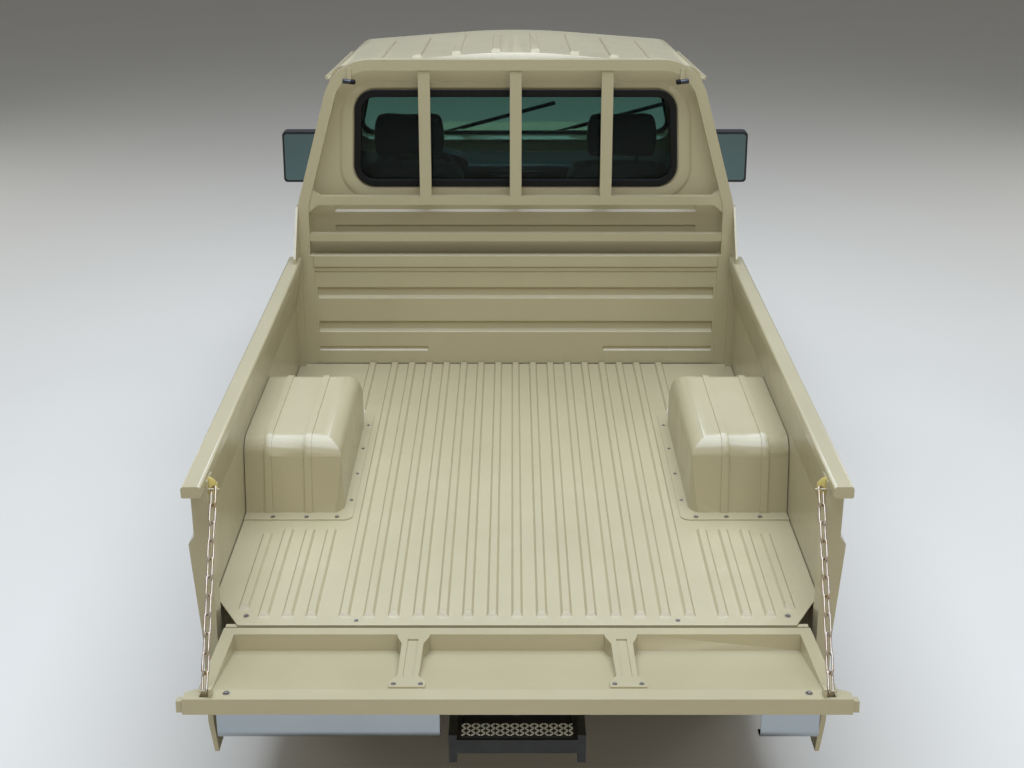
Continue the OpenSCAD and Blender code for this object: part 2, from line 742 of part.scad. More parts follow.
module cab_floor() color(body) {
  wall = cab_half - cab_wall;
  block(-wall, wall, cab_s + cab_wall, screen_s - cab_wall, deck_z, deck_z + 22);
  pair() {
    block(wall - 40, wall, cab_s + cab_wall, screen_s - cab_wall, sill_z, deck_z + 22);
    block(wall - 1, cab_half, door_rear - door_gap, door_front + door_gap, sill_z, sill_top);
    // mounts on the chassis rails
    translate([460, cab_s + 270, frame_hi]) cylinder(h = deck_z - frame_hi, r = 32);
    translate([370, screen_s - 185, frame_hi]) cylinder(h = deck_z - frame_hi, r = 32);
  }
}

module cab_back() color(body) difference() {
  intersection() {
    cab_shell(cab_wall);
    below_gutter();
    block(-1000, 1000, 2000, door_rear - door_gap, sill_z, 2500);
  }
  under_deck();
  along_y(2300, 2400) rounded(rear_outline(seal_w / 2));
  // pressed steps across the back panel
  for (z = [rail_z + 60, rail_z + 150]) along_x(-700, 700) polygon([
    [cab_s - 1, z], [cab_s, z], [cab_s + 8, z + 8], [cab_s + 8, z + 30], [cab_s, z + 38],
    [cab_s - 1, z + 38]
  ]);
}

module cab_front() color(body) {
  cowl();
  lid_pins();
  pair() for (z = door_hinges) {
    translate([hinge_x, hinge_s, z + barrel_h + 1]) cylinder(h = barrel_h, r = barrel_r);
    block(cab_half - 1, hinge_x, hinge_s + 3, hinge_s + 40, z + barrel_h + 3, z + 2 * barrel_h - 1);
  }
}

module cowl() difference() {
  intersection() {
    cab_shell(cab_wall);
    below_gutter();
    along_x(-1000, 1000) polygon([
      [door_front + door_gap, sill_z], [screen_s + 215, sill_z], [screen_s + 215, roof_z + 144],
      [a_post(roof_z + 144), roof_z + 144], [a_post(belt_z + 56), belt_z + 56],
      [door_front + door_gap, belt_z + 45]
    ]);
  }
  under_deck();
  windscreen_plane() along_z(-80, 200) rounded(screen_outline(0));
}

// Pins of the bonnet hinges, in lugs on the cowl
module lid_pins() pair() {
  bar_x(422, 478, lid_s, lid_z, 4);
  for (x = [422, 470]) block(x, x + 8, screen_s - 2, lid_s + 4, lid_z - 9, lid_z);
}

// Height of the roof's crown at a distance x from its middle
crown_run = 2500 * (roof_z - roof_mid_z) / 692;
function crown_z(x) = x > crown_run
  ? roof_z - (roof_z - roof_mid_z) * x / 692
  : roof_z - (roof_z - roof_mid_z) * crown_run / 692 + (crown_run * crown_run - x * x) / 5000;

module roof() color(body) {
  rib_end = screen_s - 625;
  intersection() {
    cab_shell(cab_wall - 8);
    fall() block(-1000, 1000, 2000, 4400, gutter_z, gutter_z + 400);
  }
  // pressed ribs along the roof
  intersection() {
    fall() along_y(cab_s + 60, rib_end) for (i = [0:roof_ribs - 1]) {
      x = (i - (roof_ribs - 1) / 2) * 150;
      translate([x, crown_z(abs(x))]) rotate(x > crown_run ? -4.9 : x < -crown_run ? 4.9 : 0)
        polygon([[-22, -8], [22, -8], [13, 9], [-13, 9]]);
    }
    fall() along_x(-900, 900) polygon([
      [cab_s + 62, roof_z - 120], [rib_end - 2, roof_z - 120], [rib_end - 2, roof_z - 60],
      [rib_end - 70, roof_z + 20],
      [cab_s + 100, roof_z + 20], [cab_s + 62, roof_z - 60]
    ]);
  }
  // drip rails
  fall() pair() along_y(cab_s + 30, screen_s - 445) polygon([
    [690, gutter_z], [722, gutter_z], [722, gutter_z + 12], [716, gutter_z + 12], [714, gutter_z + 5],
    [690, gutter_z + 6]
  ]);
}

module cab_glass() color(glass) {
  intersection() {
    difference() {
      cab_form(0.01);
      cab_form(6);
    }
    windscreen_plane() along_z(-20, 60) rounded(screen_outline(0.4));
  }
  along_y(cab_s, cab_s + 6) rounded(rear_outline(seal_w / 2 + 0.4));
}

module window_seals() color(black) {
  along_y(cab_s - 14, cab_s) difference() {
    rounded(rear_outline(0));
    rounded(rear_outline(seal_w));
  }
  windscreen_plane() along_z(-10, -0.25) difference() {
    rounded(screen_outline(-14));
    rounded(screen_outline(16));
  }
}

// Doors, drawn on the right and mirrored for the left
module door_panel() color(body) {
  difference() {
    intersection() {
      cab_shell(cab_wall - 6);
      along_x(500, 1000) rounded(door_outline(0));
      fall() block(0, 1000, 2000, 4400, 0, gutter_z - door_gap);
    }
    along_x(400, 1000) rounded(glass_outline(0));
  }
  // lower halves of the hinges
  for (z = door_hinges) {
    translate([hinge_x, hinge_s, z]) cylinder(h = barrel_h, r = barrel_r);
    block(cab_half - 1, hinge_x, hinge_s - 46, hinge_s - 2, z + 2, z + barrel_h - 2);
  }
  // pull handle
  block(cab_half, cab_half + 14, door_rear + 60, door_rear + 78, belt_z - 143, belt_z - 115);
  block(cab_half, cab_half + 14, door_rear + 170, door_rear + 188, belt_z - 143, belt_z - 115);
  block(cab_half + 13, cab_half + 20, door_rear + 56, door_rear + 192, belt_z - 143, belt_z - 115);
}

module door_pane() color(glass) intersection() {
  difference() {
    cab_form(14);
    cab_form(19);
  }
  along_x(500, 1000) rounded(glass_outline(0.4));
}

module mirror_head() color(black) {
  head_s = door_front - 135;
  intersection() {
    along_y(head_s - 34, head_s + 34) rounded(rect(908, 1080, belt_z - 108, belt_z + 128, 18));
    along_z(0, 3000) rounded([
      [908, head_s - 34, 6], [1080, head_s - 34, 6], [1080, head_s + 34, 26], [908, head_s + 34, 26]
    ]);
  }
  for (z = [belt_z - 85, belt_z - 27]) bar_x(cab_half, 912, head_s + 6, z, 9);
  block(cab_half, cab_half + 8, head_s - 14, head_s + 26, belt_z - 105, belt_z - 7);
}

// Nose

module bonnet() color(body) {
  tail_s = screen_s + 16;
  low_z = screen_z - 305;
  top = [
    [tail_s, low_z, 0], [nose_s, low_z, 0], [nose_s, screen_z - 155, 50],
    [nose_s - 500, screen_z - 43, 1500],
    [tail_s, screen_z + 7, 0]
  ];
  face = [
    [-bonnet_half, low_z, 0], [bonnet_half, low_z, 0], [bonnet_half - 10, screen_z - 17, 60],
    [0, screen_z + 11, 3000],
    [10 - bonnet_half, screen_z - 17, 60]
  ];
  difference() {
    intersection() {
      along_x(-800, 800) rounded(top);
      along_y(3000, 6000) rounded(face);
      along_x(-800, 800) polygon([
        [tail_s, screen_z - 90], [nose_s, screen_z - 200], [nose_s + 10, screen_z + 95],
        [tail_s, screen_z + 95]
      ]);
    }
    intersection() {
      along_x(-800, 800) rounded(inset(top, 24));
      along_y(3000, 6000) rounded(inset(face, 24));
    }
    // room for the wiper pivots when the bonnet swings up
    for (x = wiper_x) block(x - 24, x + 26, tail_s - 1, tail_s + 18, screen_z - 40, screen_z + 60);
  }
  // hinge eyes round the cowl's pins
  pair() difference() {
    union() {
      bar_x(434, 466, lid_s, lid_z, 7);
      block(434, 466, lid_s, tail_s + 4, lid_z - 7, lid_z - 1);
    }
    bar_x(400, 500, lid_s, lid_z, 4.2);
  }
}

module front_fenders() color(body) pair() {
  wing_z = screen_z - 255;
  outline = [
    [screen_s + 4, sill_z, 0], [front_s - arch_r + 20, sill_z, 0], [front_s - arch_r + 20, 560, 0],
    [front_s + arch_r - 20, 560, 0], [front_s + arch_r - 20, 640, 0], [nose_s, 640, 0],
    [nose_s, screen_z - 183, 60],
    [screen_s + 4, screen_z - 73, 0]
  ];
  difference() {
    intersection() {
      along_x(600, 1000) rounded(outline);
      along_y(screen_s - 85, nose_s + 340) rounded([
        [697, 400, 0], [850, 400, 0], [850, screen_z - 65, 40], [697, screen_z - 43, 0]
      ]);
      along_z(0, 2000) rounded([
        [600, screen_s - 85, 0], [850, screen_s - 85, 0], [850, nose_s, 50], [600, nose_s, 0]
      ]);
    }
    difference() {
      along_x(600, 842) rounded(inset(outline, 8));
      block(600, 842, screen_s - 85, screen_s + 12, 0, 2000);
    }
    block(600, 842, screen_s + 12, nose_s - 8, 0, 700);
    bar_x(600, 1000, front_s, axle_z, arch_r);
  }
  // flared arch edge
  intersection() {
    along_x(846, 884) translate([front_s, axle_z]) difference() {
      circle(r = arch_r + 34, $fn = 96);
      circle(r = arch_r, $fn = 96);
    }
    block(800, 900, screen_s - 85, nose_s + 340, 560, 2000);
  }
  // inner wing
  block(nose_out - 6, nose_out, screen_s + 4, nose_s - 20, frame_hi, wing_z);
  block(nose_out - 6, 843, screen_s + 4, nose_s - 20, wing_z - 6, wing_z);
}

lamp_x = 520;
lamp_z = 945;
lamp_r = 92;

module front_panel() color(black) difference() {
  union() {
    along_y(nose_s + 2, nose_s + 24) rounded(rect(-694, 694, 770, 1096, 24));
    along_y(nose_s + 2, nose_s + 12) rounded(rect(-694, 694, frame_hi + 0.3, 780, 10));
    pair() block(300, 390, nose_s - 10, nose_s + 4, frame_hi, 800);
    pair() block(685, 735, nose_s, nose_s + 14, 700, 860);
  }
  for (i = [0:5]) along_y(nose_s, nose_s + 40) rounded(rect(-375, 375, 800 + i * 44, 828 + i * 44, 6));
  pair() translate([lamp_x, nose_s - 40, lamp_z]) rotate([-90, 0, 0]) cylinder(h = 100, r = lamp_r + 0.4);
}

module headlamps() {
  color([0.9, 0.92, 0.95]) pair() intersection() {
    translate([lamp_x, nose_s - 200, lamp_z]) sphere(r = 240);
    translate([lamp_x, nose_s - 20, lamp_z]) rotate([-90, 0, 0]) cylinder(h = 100, r = lamp_r);
  }
  // side indicators on the fenders
  color([0.9, 0.5, 0.1]) pair() along_y(nose_s, nose_s + 14) rounded(rect(712, 800, 880, 1010, 10));
}

module front_bumper() color(steel) intersection() {
  along_x(-860, 860) rounded([
    [frame_end, 490, 0], [body_len, 490, 24], [body_len, 618, 24], [frame_end, 618, 0]
  ]);
  along_z(400, 700) rounded([
    [-856, frame_end, 0], [856, frame_end, 0], [856, body_len - 40, 60], [600, body_len, 300],
    [-600, body_len, 300],
    [-856, body_len - 40, 60]
  ]);
}

// Inside the cab

module dash_form() {
  wall = screen_s - cab_wall;
  along_x(-770, 770) rounded([
    [screen_s - 285, screen_z - 295, 40], [wall, screen_z - 345, 0], [wall, screen_z - 59, 0],
    [screen_s - 145, screen_z - 27, 40], [screen_s - 325, screen_z - 65, 40]
  ]);
}

module dashboard() color(black) dash_form();

module steering_wheel() color(black) {
  centre = [-425, screen_s - 555, screen_z - 115];
  translate(centre) rotate([-115, 0, 0]) {
    rotate_extrude() translate([186, 0]) circle(r = 14, $fn = 32);
    for (a = [90, 210, 330]) rotate([0, 0, a]) block(-18, 18, 0, 182, -8, 4);
    cylinder(h = 24, r = 46);
  }
  difference() {
    translate(centre) rotate([-115, 0, 0]) cylinder(h = 340, r = 24);
    dash_form();
  }
}

module seats() color(black) for (x = [-425, 425]) translate([x, door_rear, deck_z + 22]) {
  block(-200, 200, -90, 310, 0, 152);
  along_x(-255, 255) rounded(rect(-120, 380, 150, 300, 50));
  translate([0, -58, 290]) rotate([12, 0, 0]) {
    along_y(-56, 56) rounded(rect(-245, 245, 0, 490, 60));
    block(-70, -56, -7, 7, 480, 540);
    block(56, 70, -7, 7, 480, 540);
    along_y(-44, 44) rounded(rect(-140, 140, 498, 656, 40));
  }
}

module wipers() color(black) windscreen_plane() for (x = wiper_x) {
  translate([x, 8, -22]) cylinder(h = 22, r = 10);
  translate([x, 8, -20]) rotate([0, 0, -70]) block(-6, 6, 2, 470, -1, 4);
  translate([x, 8, -20]) rotate([0, 0, -70]) block(-10, 10, 150, 620, 2, 8);
}

module place() translate([0, -y_mid, 0]) children();

place() chassis_rails();
place() cross_members();
place() engine_block();
place() front_axle();
place() rear_axle();
place() leaf_springs();
place() drive_shafts();
place() fuel_tank();
place() exhaust();
place() mirror([1, 0, 0]) knuckle();  // knuckle_left
place() knuckle();  // knuckle_right
place() at_wheel(-1, front_s, track_f) rim_shape();  // rim_front_left
place() at_wheel(1, front_s, track_f) rim_shape();  // rim_front_right
place() at_wheel(-1, rear_s, track_r) rim_shape();  // rim_rear_left
place() at_wheel(1, rear_s, track_r) rim_shape();  // rim_rear_right
place() at_wheel(-1, front_s, track_f) tyre_shape();  // tyre_front_left
place() at_wheel(1, front_s, track_f) tyre_shape();  // tyre_front_right
place() at_wheel(-1, rear_s, track_r) tyre_shape();  // tyre_rear_left
place() at_wheel(1, rear_s, track_r) tyre_shape();  // tyre_rear_right
place() bed_floor();
place() bed_sides();
place() wheelhouses();
place() bed_front_wall();
place() guard_frame();
place() tailgate();
place() chain_run(0, upper_links - 1);  // chain_upper
place() chain_run(upper_links, chain_links - 1);  // chain_lower
place() rear_bumpers();
place() rear_step();
place() tail_lamps();
place() cab_floor();
place() cab_back();
place() cab_front();
place() roof();
place() cab_glass();
place() window_seals();
place() mirror([1, 0, 0]) door_panel();  // door_left
place() door_panel();  // door_right
place() mirror([1, 0, 0]) door_pane();  // door_glass_left
place() door_pane();  // door_glass_right
place() mirror([1, 0, 0]) mirror_head();  // mirror_left
place() mirror_head();  // mirror_right
place() bonnet();
place() front_fenders();
place() front_panel();
place() headlamps();
place() front_bumper();
place() dashboard();
place() steering_wheel();
place() seats();
place() wipers();
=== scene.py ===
"""Looks of a single-cab pickup truck with an open load bed, dressed round its CAD frame.

Blender works in metres: x to the truck's right, y forward, z up, ground at z 0.
Lengths here are millimetres unless their name ends in _M. A station, s, counts forward
from the rear ends of the bed's rails. Profiles list (radius, height) along a turning axis.
"""

import math

import bmesh
import bpy
from mathutils import Matrix, Vector


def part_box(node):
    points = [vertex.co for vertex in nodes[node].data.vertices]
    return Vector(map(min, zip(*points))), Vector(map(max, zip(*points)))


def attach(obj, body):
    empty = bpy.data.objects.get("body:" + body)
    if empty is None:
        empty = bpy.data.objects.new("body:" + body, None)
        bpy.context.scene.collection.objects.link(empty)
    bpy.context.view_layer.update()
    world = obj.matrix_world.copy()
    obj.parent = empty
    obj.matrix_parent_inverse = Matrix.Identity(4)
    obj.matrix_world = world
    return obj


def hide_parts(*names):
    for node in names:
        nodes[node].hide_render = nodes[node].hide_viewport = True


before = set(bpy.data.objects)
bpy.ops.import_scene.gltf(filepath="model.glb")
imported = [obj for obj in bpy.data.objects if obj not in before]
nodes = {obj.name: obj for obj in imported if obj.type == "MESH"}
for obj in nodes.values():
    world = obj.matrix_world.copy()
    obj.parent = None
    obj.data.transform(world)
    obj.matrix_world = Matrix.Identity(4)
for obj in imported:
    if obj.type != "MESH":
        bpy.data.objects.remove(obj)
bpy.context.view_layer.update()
scene = bpy.context.scene

LEFT, RIGHT = -1, 1
SIDES = {"left": LEFT, "right": RIGHT}
UP, BACK, FRONT = (0, 0, 1), (0, -1, 0), (0, 1, 0)


# Materials

NOISE_SPAN = (0.3, 0.7)  # where most values of a noise texture lie


class Shader:
    """A Principled material and short calls for the nodes that feed it."""

    def __init__(self, name):
        self.mat = bpy.data.materials.new(name)
        self.mat.use_nodes = True
        self.tree = self.mat.node_tree
        self.bsdf = self.tree.nodes["Principled BSDF"]
        self.coords = self.node("ShaderNodeTexCoord").outputs["Object"]

    def node(self, kind, **settings):
        made = self.tree.nodes.new(kind)
        for key, value in settings.items():
            setattr(made, key, value)
        return made

    def link(self, source, target):
        self.tree.links.new(source, target)

    def set(self, **values):
        """Constant values on the shader's own sockets, with spaces written as underscores."""
        for key, value in values.items():
            self.bsdf.inputs[key.replace("_", " ")].default_value = value

    def stretched(self, scale):
        mapping = self.node("ShaderNodeMapping")
        mapping.inputs["Scale"].default_value = scale
        self.link(self.coords, mapping.inputs["Vector"])
        return mapping.outputs["Vector"]

    def noise(self, scale, detail=4.0, rough=0.55, stretch=None):
        made = self.node("ShaderNodeTexNoise")
        made.inputs["Scale"].default_value = scale
        made.inputs["Detail"].default_value = detail
        made.inputs["Roughness"].default_value = rough
        self.link(self.stretched(stretch) if stretch else self.coords, made.inputs["Vector"])
        return made.outputs["Fac"]

    def wave(self, direction, scale, distortion=0.0):
        made = self.node("ShaderNodeTexWave", bands_direction=direction)
        made.inputs["Scale"].default_value = scale
        made.inputs["Distortion"].default_value = distortion
        self.link(self.coords, made.inputs["Vector"])
        return made.outputs["Fac"]

    def ramp(self, source, out_low, out_high, span=NOISE_SPAN):
        """The source's values within span, spread from out_low to out_high."""
        made = self.node("ShaderNodeMapRange")
        keys = ("From Min", "From Max", "To Min", "To Max")
        for key, value in zip(keys, (*span, out_low, out_high)):
            made.inputs[key].default_value = value
        self.link(source, made.inputs["Value"])
        return made.outputs["Result"]

    def math(self, kind, a, b):
        made = self.node("ShaderNodeMath", operation=kind)
        for slot, value in zip(made.inputs, (a, b)):
            if isinstance(value, (int, float)):
                slot.default_value = value
            else:
                self.link(value, slot)
        return made.outputs["Value"]

    def mix(self, factor, a, b):
        """Blend of two colours, each a tuple or a socket."""
        made = self.node("ShaderNodeMix", data_type="RGBA")
        self.link(factor, made.inputs["Factor"])
        for slot, value in ((made.inputs["A"], a), (made.inputs["B"], b)):
            if isinstance(value, tuple):
                slot.default_value = (*value, 1.0)
            else:
                self.link(value, slot)
        return made.outputs["Result"]

    def axis(self, name):
        parts = self.node("ShaderNodeSeparateXYZ")
        self.link(self.coords, parts.inputs["Vector"])
        return parts.outputs[name]

    def bump(self, height, strength, distance):
        made = self.node("ShaderNodeBump")
        made.inputs["Strength"].default_value = strength
        made.inputs["Distance"].default_value = distance
        self.link(height, made.inputs["Height"])
        self.link(made.outputs["Normal"], self.bsdf.inputs["Normal"])

    def colour(self, source):
        self.link(source, self.bsdf.inputs["Base Color"])

    def roughness(self, source):
        self.link(source, self.bsdf.inputs["Roughness"])


def linear(r, g, b):
    """Linear colour of an 8-bit screen colour, by the sRGB curve above its dark toe."""
    return tuple(((c / 255 + 0.055) / 1.055) ** 2.4 for c in (r, g, b))


def tint(colour, factor):
    return tuple(min(1.0, c * factor) for c in colour)


def paint(name, colour, wear=0.0):
    """Sprayed enamel: soft clouds of shade, orange peel, and scuffs where wear is above 0."""
    m = Shader(name)
    clouds = m.ramp(m.noise(2.3, detail=5), 0, 1)
    shade = m.mix(clouds, tint(colour, 0.965), tint(colour, 1.03))
    if wear:
        streaks = m.noise(26, detail=8, rough=0.7, stretch=(9, 0.7, 4))
        shade = m.mix(m.ramp(streaks, 0, wear, span=(0.56, 0.74)), shade, tint(colour, 1.25))
    m.colour(shade)
    patches = m.noise(7, detail=6, rough=0.6)
    m.roughness(m.ramp(patches, 0.3 + 0.15 * wear, 0.4 + 0.3 * wear))
    m.bump(m.noise(520, detail=2), strength=0.07, distance=0.0006)
    m.set(Coat_Weight=0.45 - 0.3 * wear, Coat_Roughness=0.09, Specular_IOR_Level=0.5)
    return m.mat


def satin(name, colour, rough, grain, depth=0.0005, spread=0.2, gloss=0.5):
    """Moulded or coated surface with a fine grain."""
    m = Shader(name)
    blotch = m.ramp(m.noise(11, detail=6, rough=0.65), 0, 1, span=(0.35, 0.68))
    m.colour(m.mix(blotch, tint(colour, 1 - spread), tint(colour, 1 + spread)))
    m.roughness(m.ramp(m.noise(grain / 4), rough - 0.08, rough + 0.1))
    m.bump(m.noise(grain, detail=3), strength=0.25, distance=depth)
    m.set(Specular_IOR_Level=gloss)
    return m.mat


def metal(name, colour, rough, grain, spread=0.08, shine=1.0):
    """Metal with faint blotches. A shine below 1 makes part of it a plain pale surface."""
    m = Shader(name)
    blotch = m.ramp(m.noise(grain, detail=6, rough=0.6), 0, 1)
    m.colour(m.mix(blotch, tint(colour, 1 - spread), tint(colour, 1 + spread)))
    m.roughness(m.ramp(blotch, rough * 0.75, rough * 1.3, span=(0, 1)))
    m.bump(m.noise(grain * 6, detail=2, rough=0.5), strength=0.06, distance=0.0003)
    m.set(Metallic=shine)
    return m.mat


def passivated(name):
    """Yellow zinc with a pink bloom."""
    m = Shader(name)
    bloom = m.noise(42, detail=5, rough=0.6)
    turn = m.ramp(bloom, 0, 1, span=(0.35, 0.6))
    warm = m.mix(turn, linear(178, 158, 128), linear(190, 178, 164))
    spots = m.ramp(m.noise(95, detail=3), 0, 0.8, span=(0.55, 0.72))
    m.colour(m.mix(spots, warm, linear(182, 150, 138)))
    m.roughness(m.ramp(bloom, 0.34, 0.52))
    m.set(Metallic=1.0)
    return m.mat


def pane(name, colour):
    """Clear tinted glass with hardly any bending of what lies behind it."""
    m = Shader(name)
    m.colour(m.mix(m.ramp(m.noise(3.1, detail=3), 0, 1), tint(colour, 0.97), colour))
    m.set(Roughness=0.0, Transmission_Weight=1.0, IOR=1.2)
    return m.mat


def lens(name, colour, outer, from_x, flutes, transmission):
    """Moulded lamp lens with upright flutes.

    Beyond from_x metres off the truck's middle it takes the outer colour.
    """
    m = Shader(name)
    flute = m.wave("X", flutes)
    shades = [m.mix(flute, tint(c, 0.8), tint(c, 1.15)) for c in (colour, outer)]
    beyond = m.math("GREATER_THAN", m.math("ABSOLUTE", m.axis("X"), 0.0), from_x)
    m.colour(m.mix(beyond, *shades))
    m.roughness(m.ramp(m.noise(30), 0.08, 0.18))
    m.bump(flute, strength=0.5, distance=0.002)
    m.set(Transmission_Weight=transmission, Coat_Weight=0.6, IOR=1.49)
    return m.mat


def cloth(name, colour, threads):
    """Woven seat cloth: two crossed sets of threads."""
    m = Shader(name)
    weave = m.math("MULTIPLY", *(m.wave(way, threads, distortion=0.6) for way in ("X", "Z")))
    m.colour(m.mix(weave, tint(colour, 0.7), tint(colour, 1.35)))
    m.roughness(m.ramp(m.noise(12), 0.78, 0.92))
    m.bump(weave, strength=0.5, distance=0.0008)
    m.set(Sheen_Weight=0.08, Sheen_Roughness=0.5)
    return m.mat


SAND = linear(170, 159, 124)
AMBER = linear(232, 122, 20)

PAINT = paint("sand_enamel", SAND)
BED_PAINT = paint("sand_enamel_bed", tint(SAND, 1.02), wear=0.35)
FRAME_BLACK = satin("chassis_black", linear(30, 31, 33), 0.5, 240)
PLASTIC = satin("grained_plastic", linear(20, 21, 22), 0.46, 700)
RUBBER = satin("seal_rubber", linear(12, 12, 13), 0.5, 300, gloss=0.2)
TYRE = satin("tyre_rubber", linear(32, 32, 33), 0.74, 180, depth=0.001)
LUG_YELLOW = satin("lug_yellow", linear(214, 198, 118), 0.38, 160, depth=0.0002, spread=0.06)
BOTTLE = satin("bottle_plastic", linear(204, 203, 192), 0.45, 60, depth=0.0003, spread=0.05)
CAST = metal("cast_iron", linear(92, 92, 95), 0.55, 40)
STEEL = metal("bare_steel", linear(140, 141, 144), 0.4, 70)
DARK_STEEL = metal("blued_steel", linear(70, 71, 74), 0.25, 70)
CHROME = metal("bright_chrome", linear(164, 171, 176), 0.07, 9, spread=0.02)
# Tread plate: near white with little metal in it, a painted sheen standing in for the bright
# alloy's reflection in the shade under the gate
TREAD_PAINTED_SHEEN = metal("tread_alloy_painted_sheen", linear(232, 234, 232), 0.34, 90, shine=0.1)
BOLT = metal("zinc_bolt", linear(146, 142, 138), 0.35, 120)
MIRROR = metal("mirror_silver", linear(88, 106, 106), 0.02, 4, spread=0.01)
ZINC = passivated("yellow_zinc")
# Green glass: its own green tint, deepened as painted shade so that what lies behind both panes
# reads dark
GLASS_PAINTED_SHADE = pane("green_glass_painted_shade", linear(166, 202, 194))
TAIL_LENS = lens("tail_lens", linear(166, 20, 16), AMBER, 0.728, flutes=90, transmission=0.35)
HEAD_LENS = lens("head_lens", linear(226, 232, 236), AMBER, 0.7, flutes=55, transmission=0.6)
# Seat cloth: its own dark colour, deepened further as painted shade for the dim cab
SEAT_CLOTH_PAINTED_SHADE = cloth("seat_cloth_painted_shade", linear(24, 24, 27), threads=150)

NODE_LOOKS = {
    PAINT: "bed_sides guard_frame tailgate bed_front_wall cab_back cab_front cab_floor roof "
    "door_left door_right bonnet front_fenders rim_front_left rim_front_right rim_rear_left "
    "rim_rear_right",
    BED_PAINT: "bed_floor wheelhouses",
    FRAME_BLACK: "chassis_rails cross_members leaf_springs fuel_tank rear_step front_axle "
    "rear_axle",
    CAST: "engine_block knuckle_left knuckle_right drive_shafts",
    STEEL: "exhaust front_bumper",
    CHROME: "rear_bumpers",
    ZINC: "chain_upper chain_lower",
    GLASS_PAINTED_SHADE: "cab_glass door_glass_left door_glass_right",
    RUBBER: "window_seals wipers",
    TYRE: "tyre_front_left tyre_front_right tyre_rear_left tyre_rear_right",
    PLASTIC: "mirror_left mirror_right front_panel dashboard steering_wheel seats",
    TAIL_LENS: "tail_lamps",
    HEAD_LENS: "headlamps",
}


def assign(obj, mat):
    obj.data.materials.clear()
    obj.data.materials.append(mat)


for look, names in NODE_LOOKS.items():
    for name in names.split():
        assign(nodes[name], look)


# Softened edges on the CAD nodes, by width in metres

EDGES_M = {
    0.012: "dashboard",
    0.006: "bed_sides cab_back bonnet front_bumper chassis_rails",
    0.005: "guard_frame tailgate cab_front door_left door_right",
    0.004: "bed_floor bed_front_wall roof front_fenders window_seals mirror_left mirror_right",
    0.003: "tail_lamps front_panel",
    0.002: "rear_step wheelhouses",
    0.0012: "rear_bumpers",
}
WELD_M = 0.00002
SOFT_ANGLE = math.radians(32)

for width, names in EDGES_M.items():
    for name in names.split():
        weld = nodes[name].modifiers.new("weld", "WELD")
        weld.merge_threshold = WELD_M
        bevel = nodes[name].modifiers.new("soft_edges", "BEVEL")
        bevel.width = width
        bevel.segments = 3
        bevel.limit_method = "ANGLE"
        bevel.angle_limit = SOFT_ANGLE
        bevel.harden_normals = True
        bevel.use_clamp_overlap = True


# Building pieces

REAR_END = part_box("bed_sides")[0].y
MM = 0.001


def at(x, s, z):
    """Point in metres from millimetres across, forward of the bed rails' rear ends, and up."""
    return Vector((x * MM, REAR_END + s * MM, z * MM))


def shift(x, y, z):
    return Matrix.Translation(Vector((x, y, z)) * MM)


def turn(degrees, axis):
    return Matrix.Rotation(math.radians(degrees), 4, axis)


def outward(side):
    """Direction to the truck's left or right."""
    return (side, 0, 0)


def facing(point, normal):
    """Placement at point whose z axis looks along normal."""
    look = Vector(normal).to_track_quat("Z", "Y").to_matrix().to_4x4()
    return Matrix.Translation(point) @ look


def piece(name, bm, body, mat, sharp=40):
    """Turns bm into an object that rides on a body, smooth but for edges above the angle."""
    bmesh.ops.recalc_face_normals(bm, faces=bm.faces)
    mesh = bpy.data.meshes.new(name)
    bm.to_mesh(mesh)
    bm.free()
    mesh.polygons.foreach_set("use_smooth", [True] * len(mesh.polygons))
    mesh.set_sharp_from_angle(angle=math.radians(sharp))
    obj = bpy.data.objects.new(name, mesh)
    scene.collection.objects.link(obj)
    assign(obj, mat)
    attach(obj, body)
    return obj


def skin(bm, rows, loop=False, ring=True):
    """Faces between neighbouring rows of points.

    In a loop the last row joins the first, in a ring each row's last point its first.
    """
    for a, b in zip(rows, rows[1:] + (rows[:1] if loop else [])):
        for i in range(len(a) if ring else len(a) - 1):
            j = (i + 1) % len(a)
            bm.faces.new((a[i], a[j], b[j], b[i]))


def lathe(bm, profile, place, steps=24, hollow=False):
    """Turns a profile round the placement's z axis.

    The ends are closed by discs, or joined to each other where the form is a hollow ring.
    """
    rings = []
    for r, h in profile:
        count = steps if r else 1
        angles = [2 * math.pi * i / count for i in range(count)]
        spots = [Vector((r * math.cos(a), r * math.sin(a), h)) * MM for a in angles]
        rings.append([bm.verts.new(place @ spot) for spot in spots])
    if not hollow:
        for end in (rings[0], rings[-1]):
            if len(end) > 1:
                bm.faces.new(end)
    for low, high in zip(rings, rings[1:] + (rings[:1] if hollow else [])):
        for i in range(steps):
            j = (i + 1) % steps
            loop = [low[i % len(low)], low[j % len(low)], high[j % len(high)], high[i % len(high)]]
            corners = list(dict.fromkeys(loop))
            if len(corners) > 2:
                bm.faces.new(corners)


def tube(bm, path, radius, sides=12, closed=False):
    """Round wire along a list of points."""
    rings = []
    count = len(path)
    angles = [2 * math.pi * k / sides for k in range(sides)]
    for i, p in enumerate(path):
        ahead = path[(i + 1) % count] if closed or i < count - 1 else p
        behind = path[i - 1] if closed or i > 0 else p
        place = facing(p, ahead - behind)
        spots = [Vector((math.cos(a), math.sin(a), 0)) * (radius * MM) for a in angles]
        rings.append([bm.verts.new(place @ spot) for spot in spots])
    if not closed:
        bm.faces.new(rings[0])
        bm.faces.new(rings[-1])
    skin(bm, rings, loop=closed)


def plate(bm, outline, place, depth):
    """Flat plate: an outline of (x, y) in the placement's plane, raised along its z by depth."""
    rows = []
    for height in (0, depth):
        rows.append([bm.verts.new(place @ (Vector((x, y, height)) * MM)) for x, y in outline])
        bm.faces.new(rows[-1])
    skin(bm, rows)


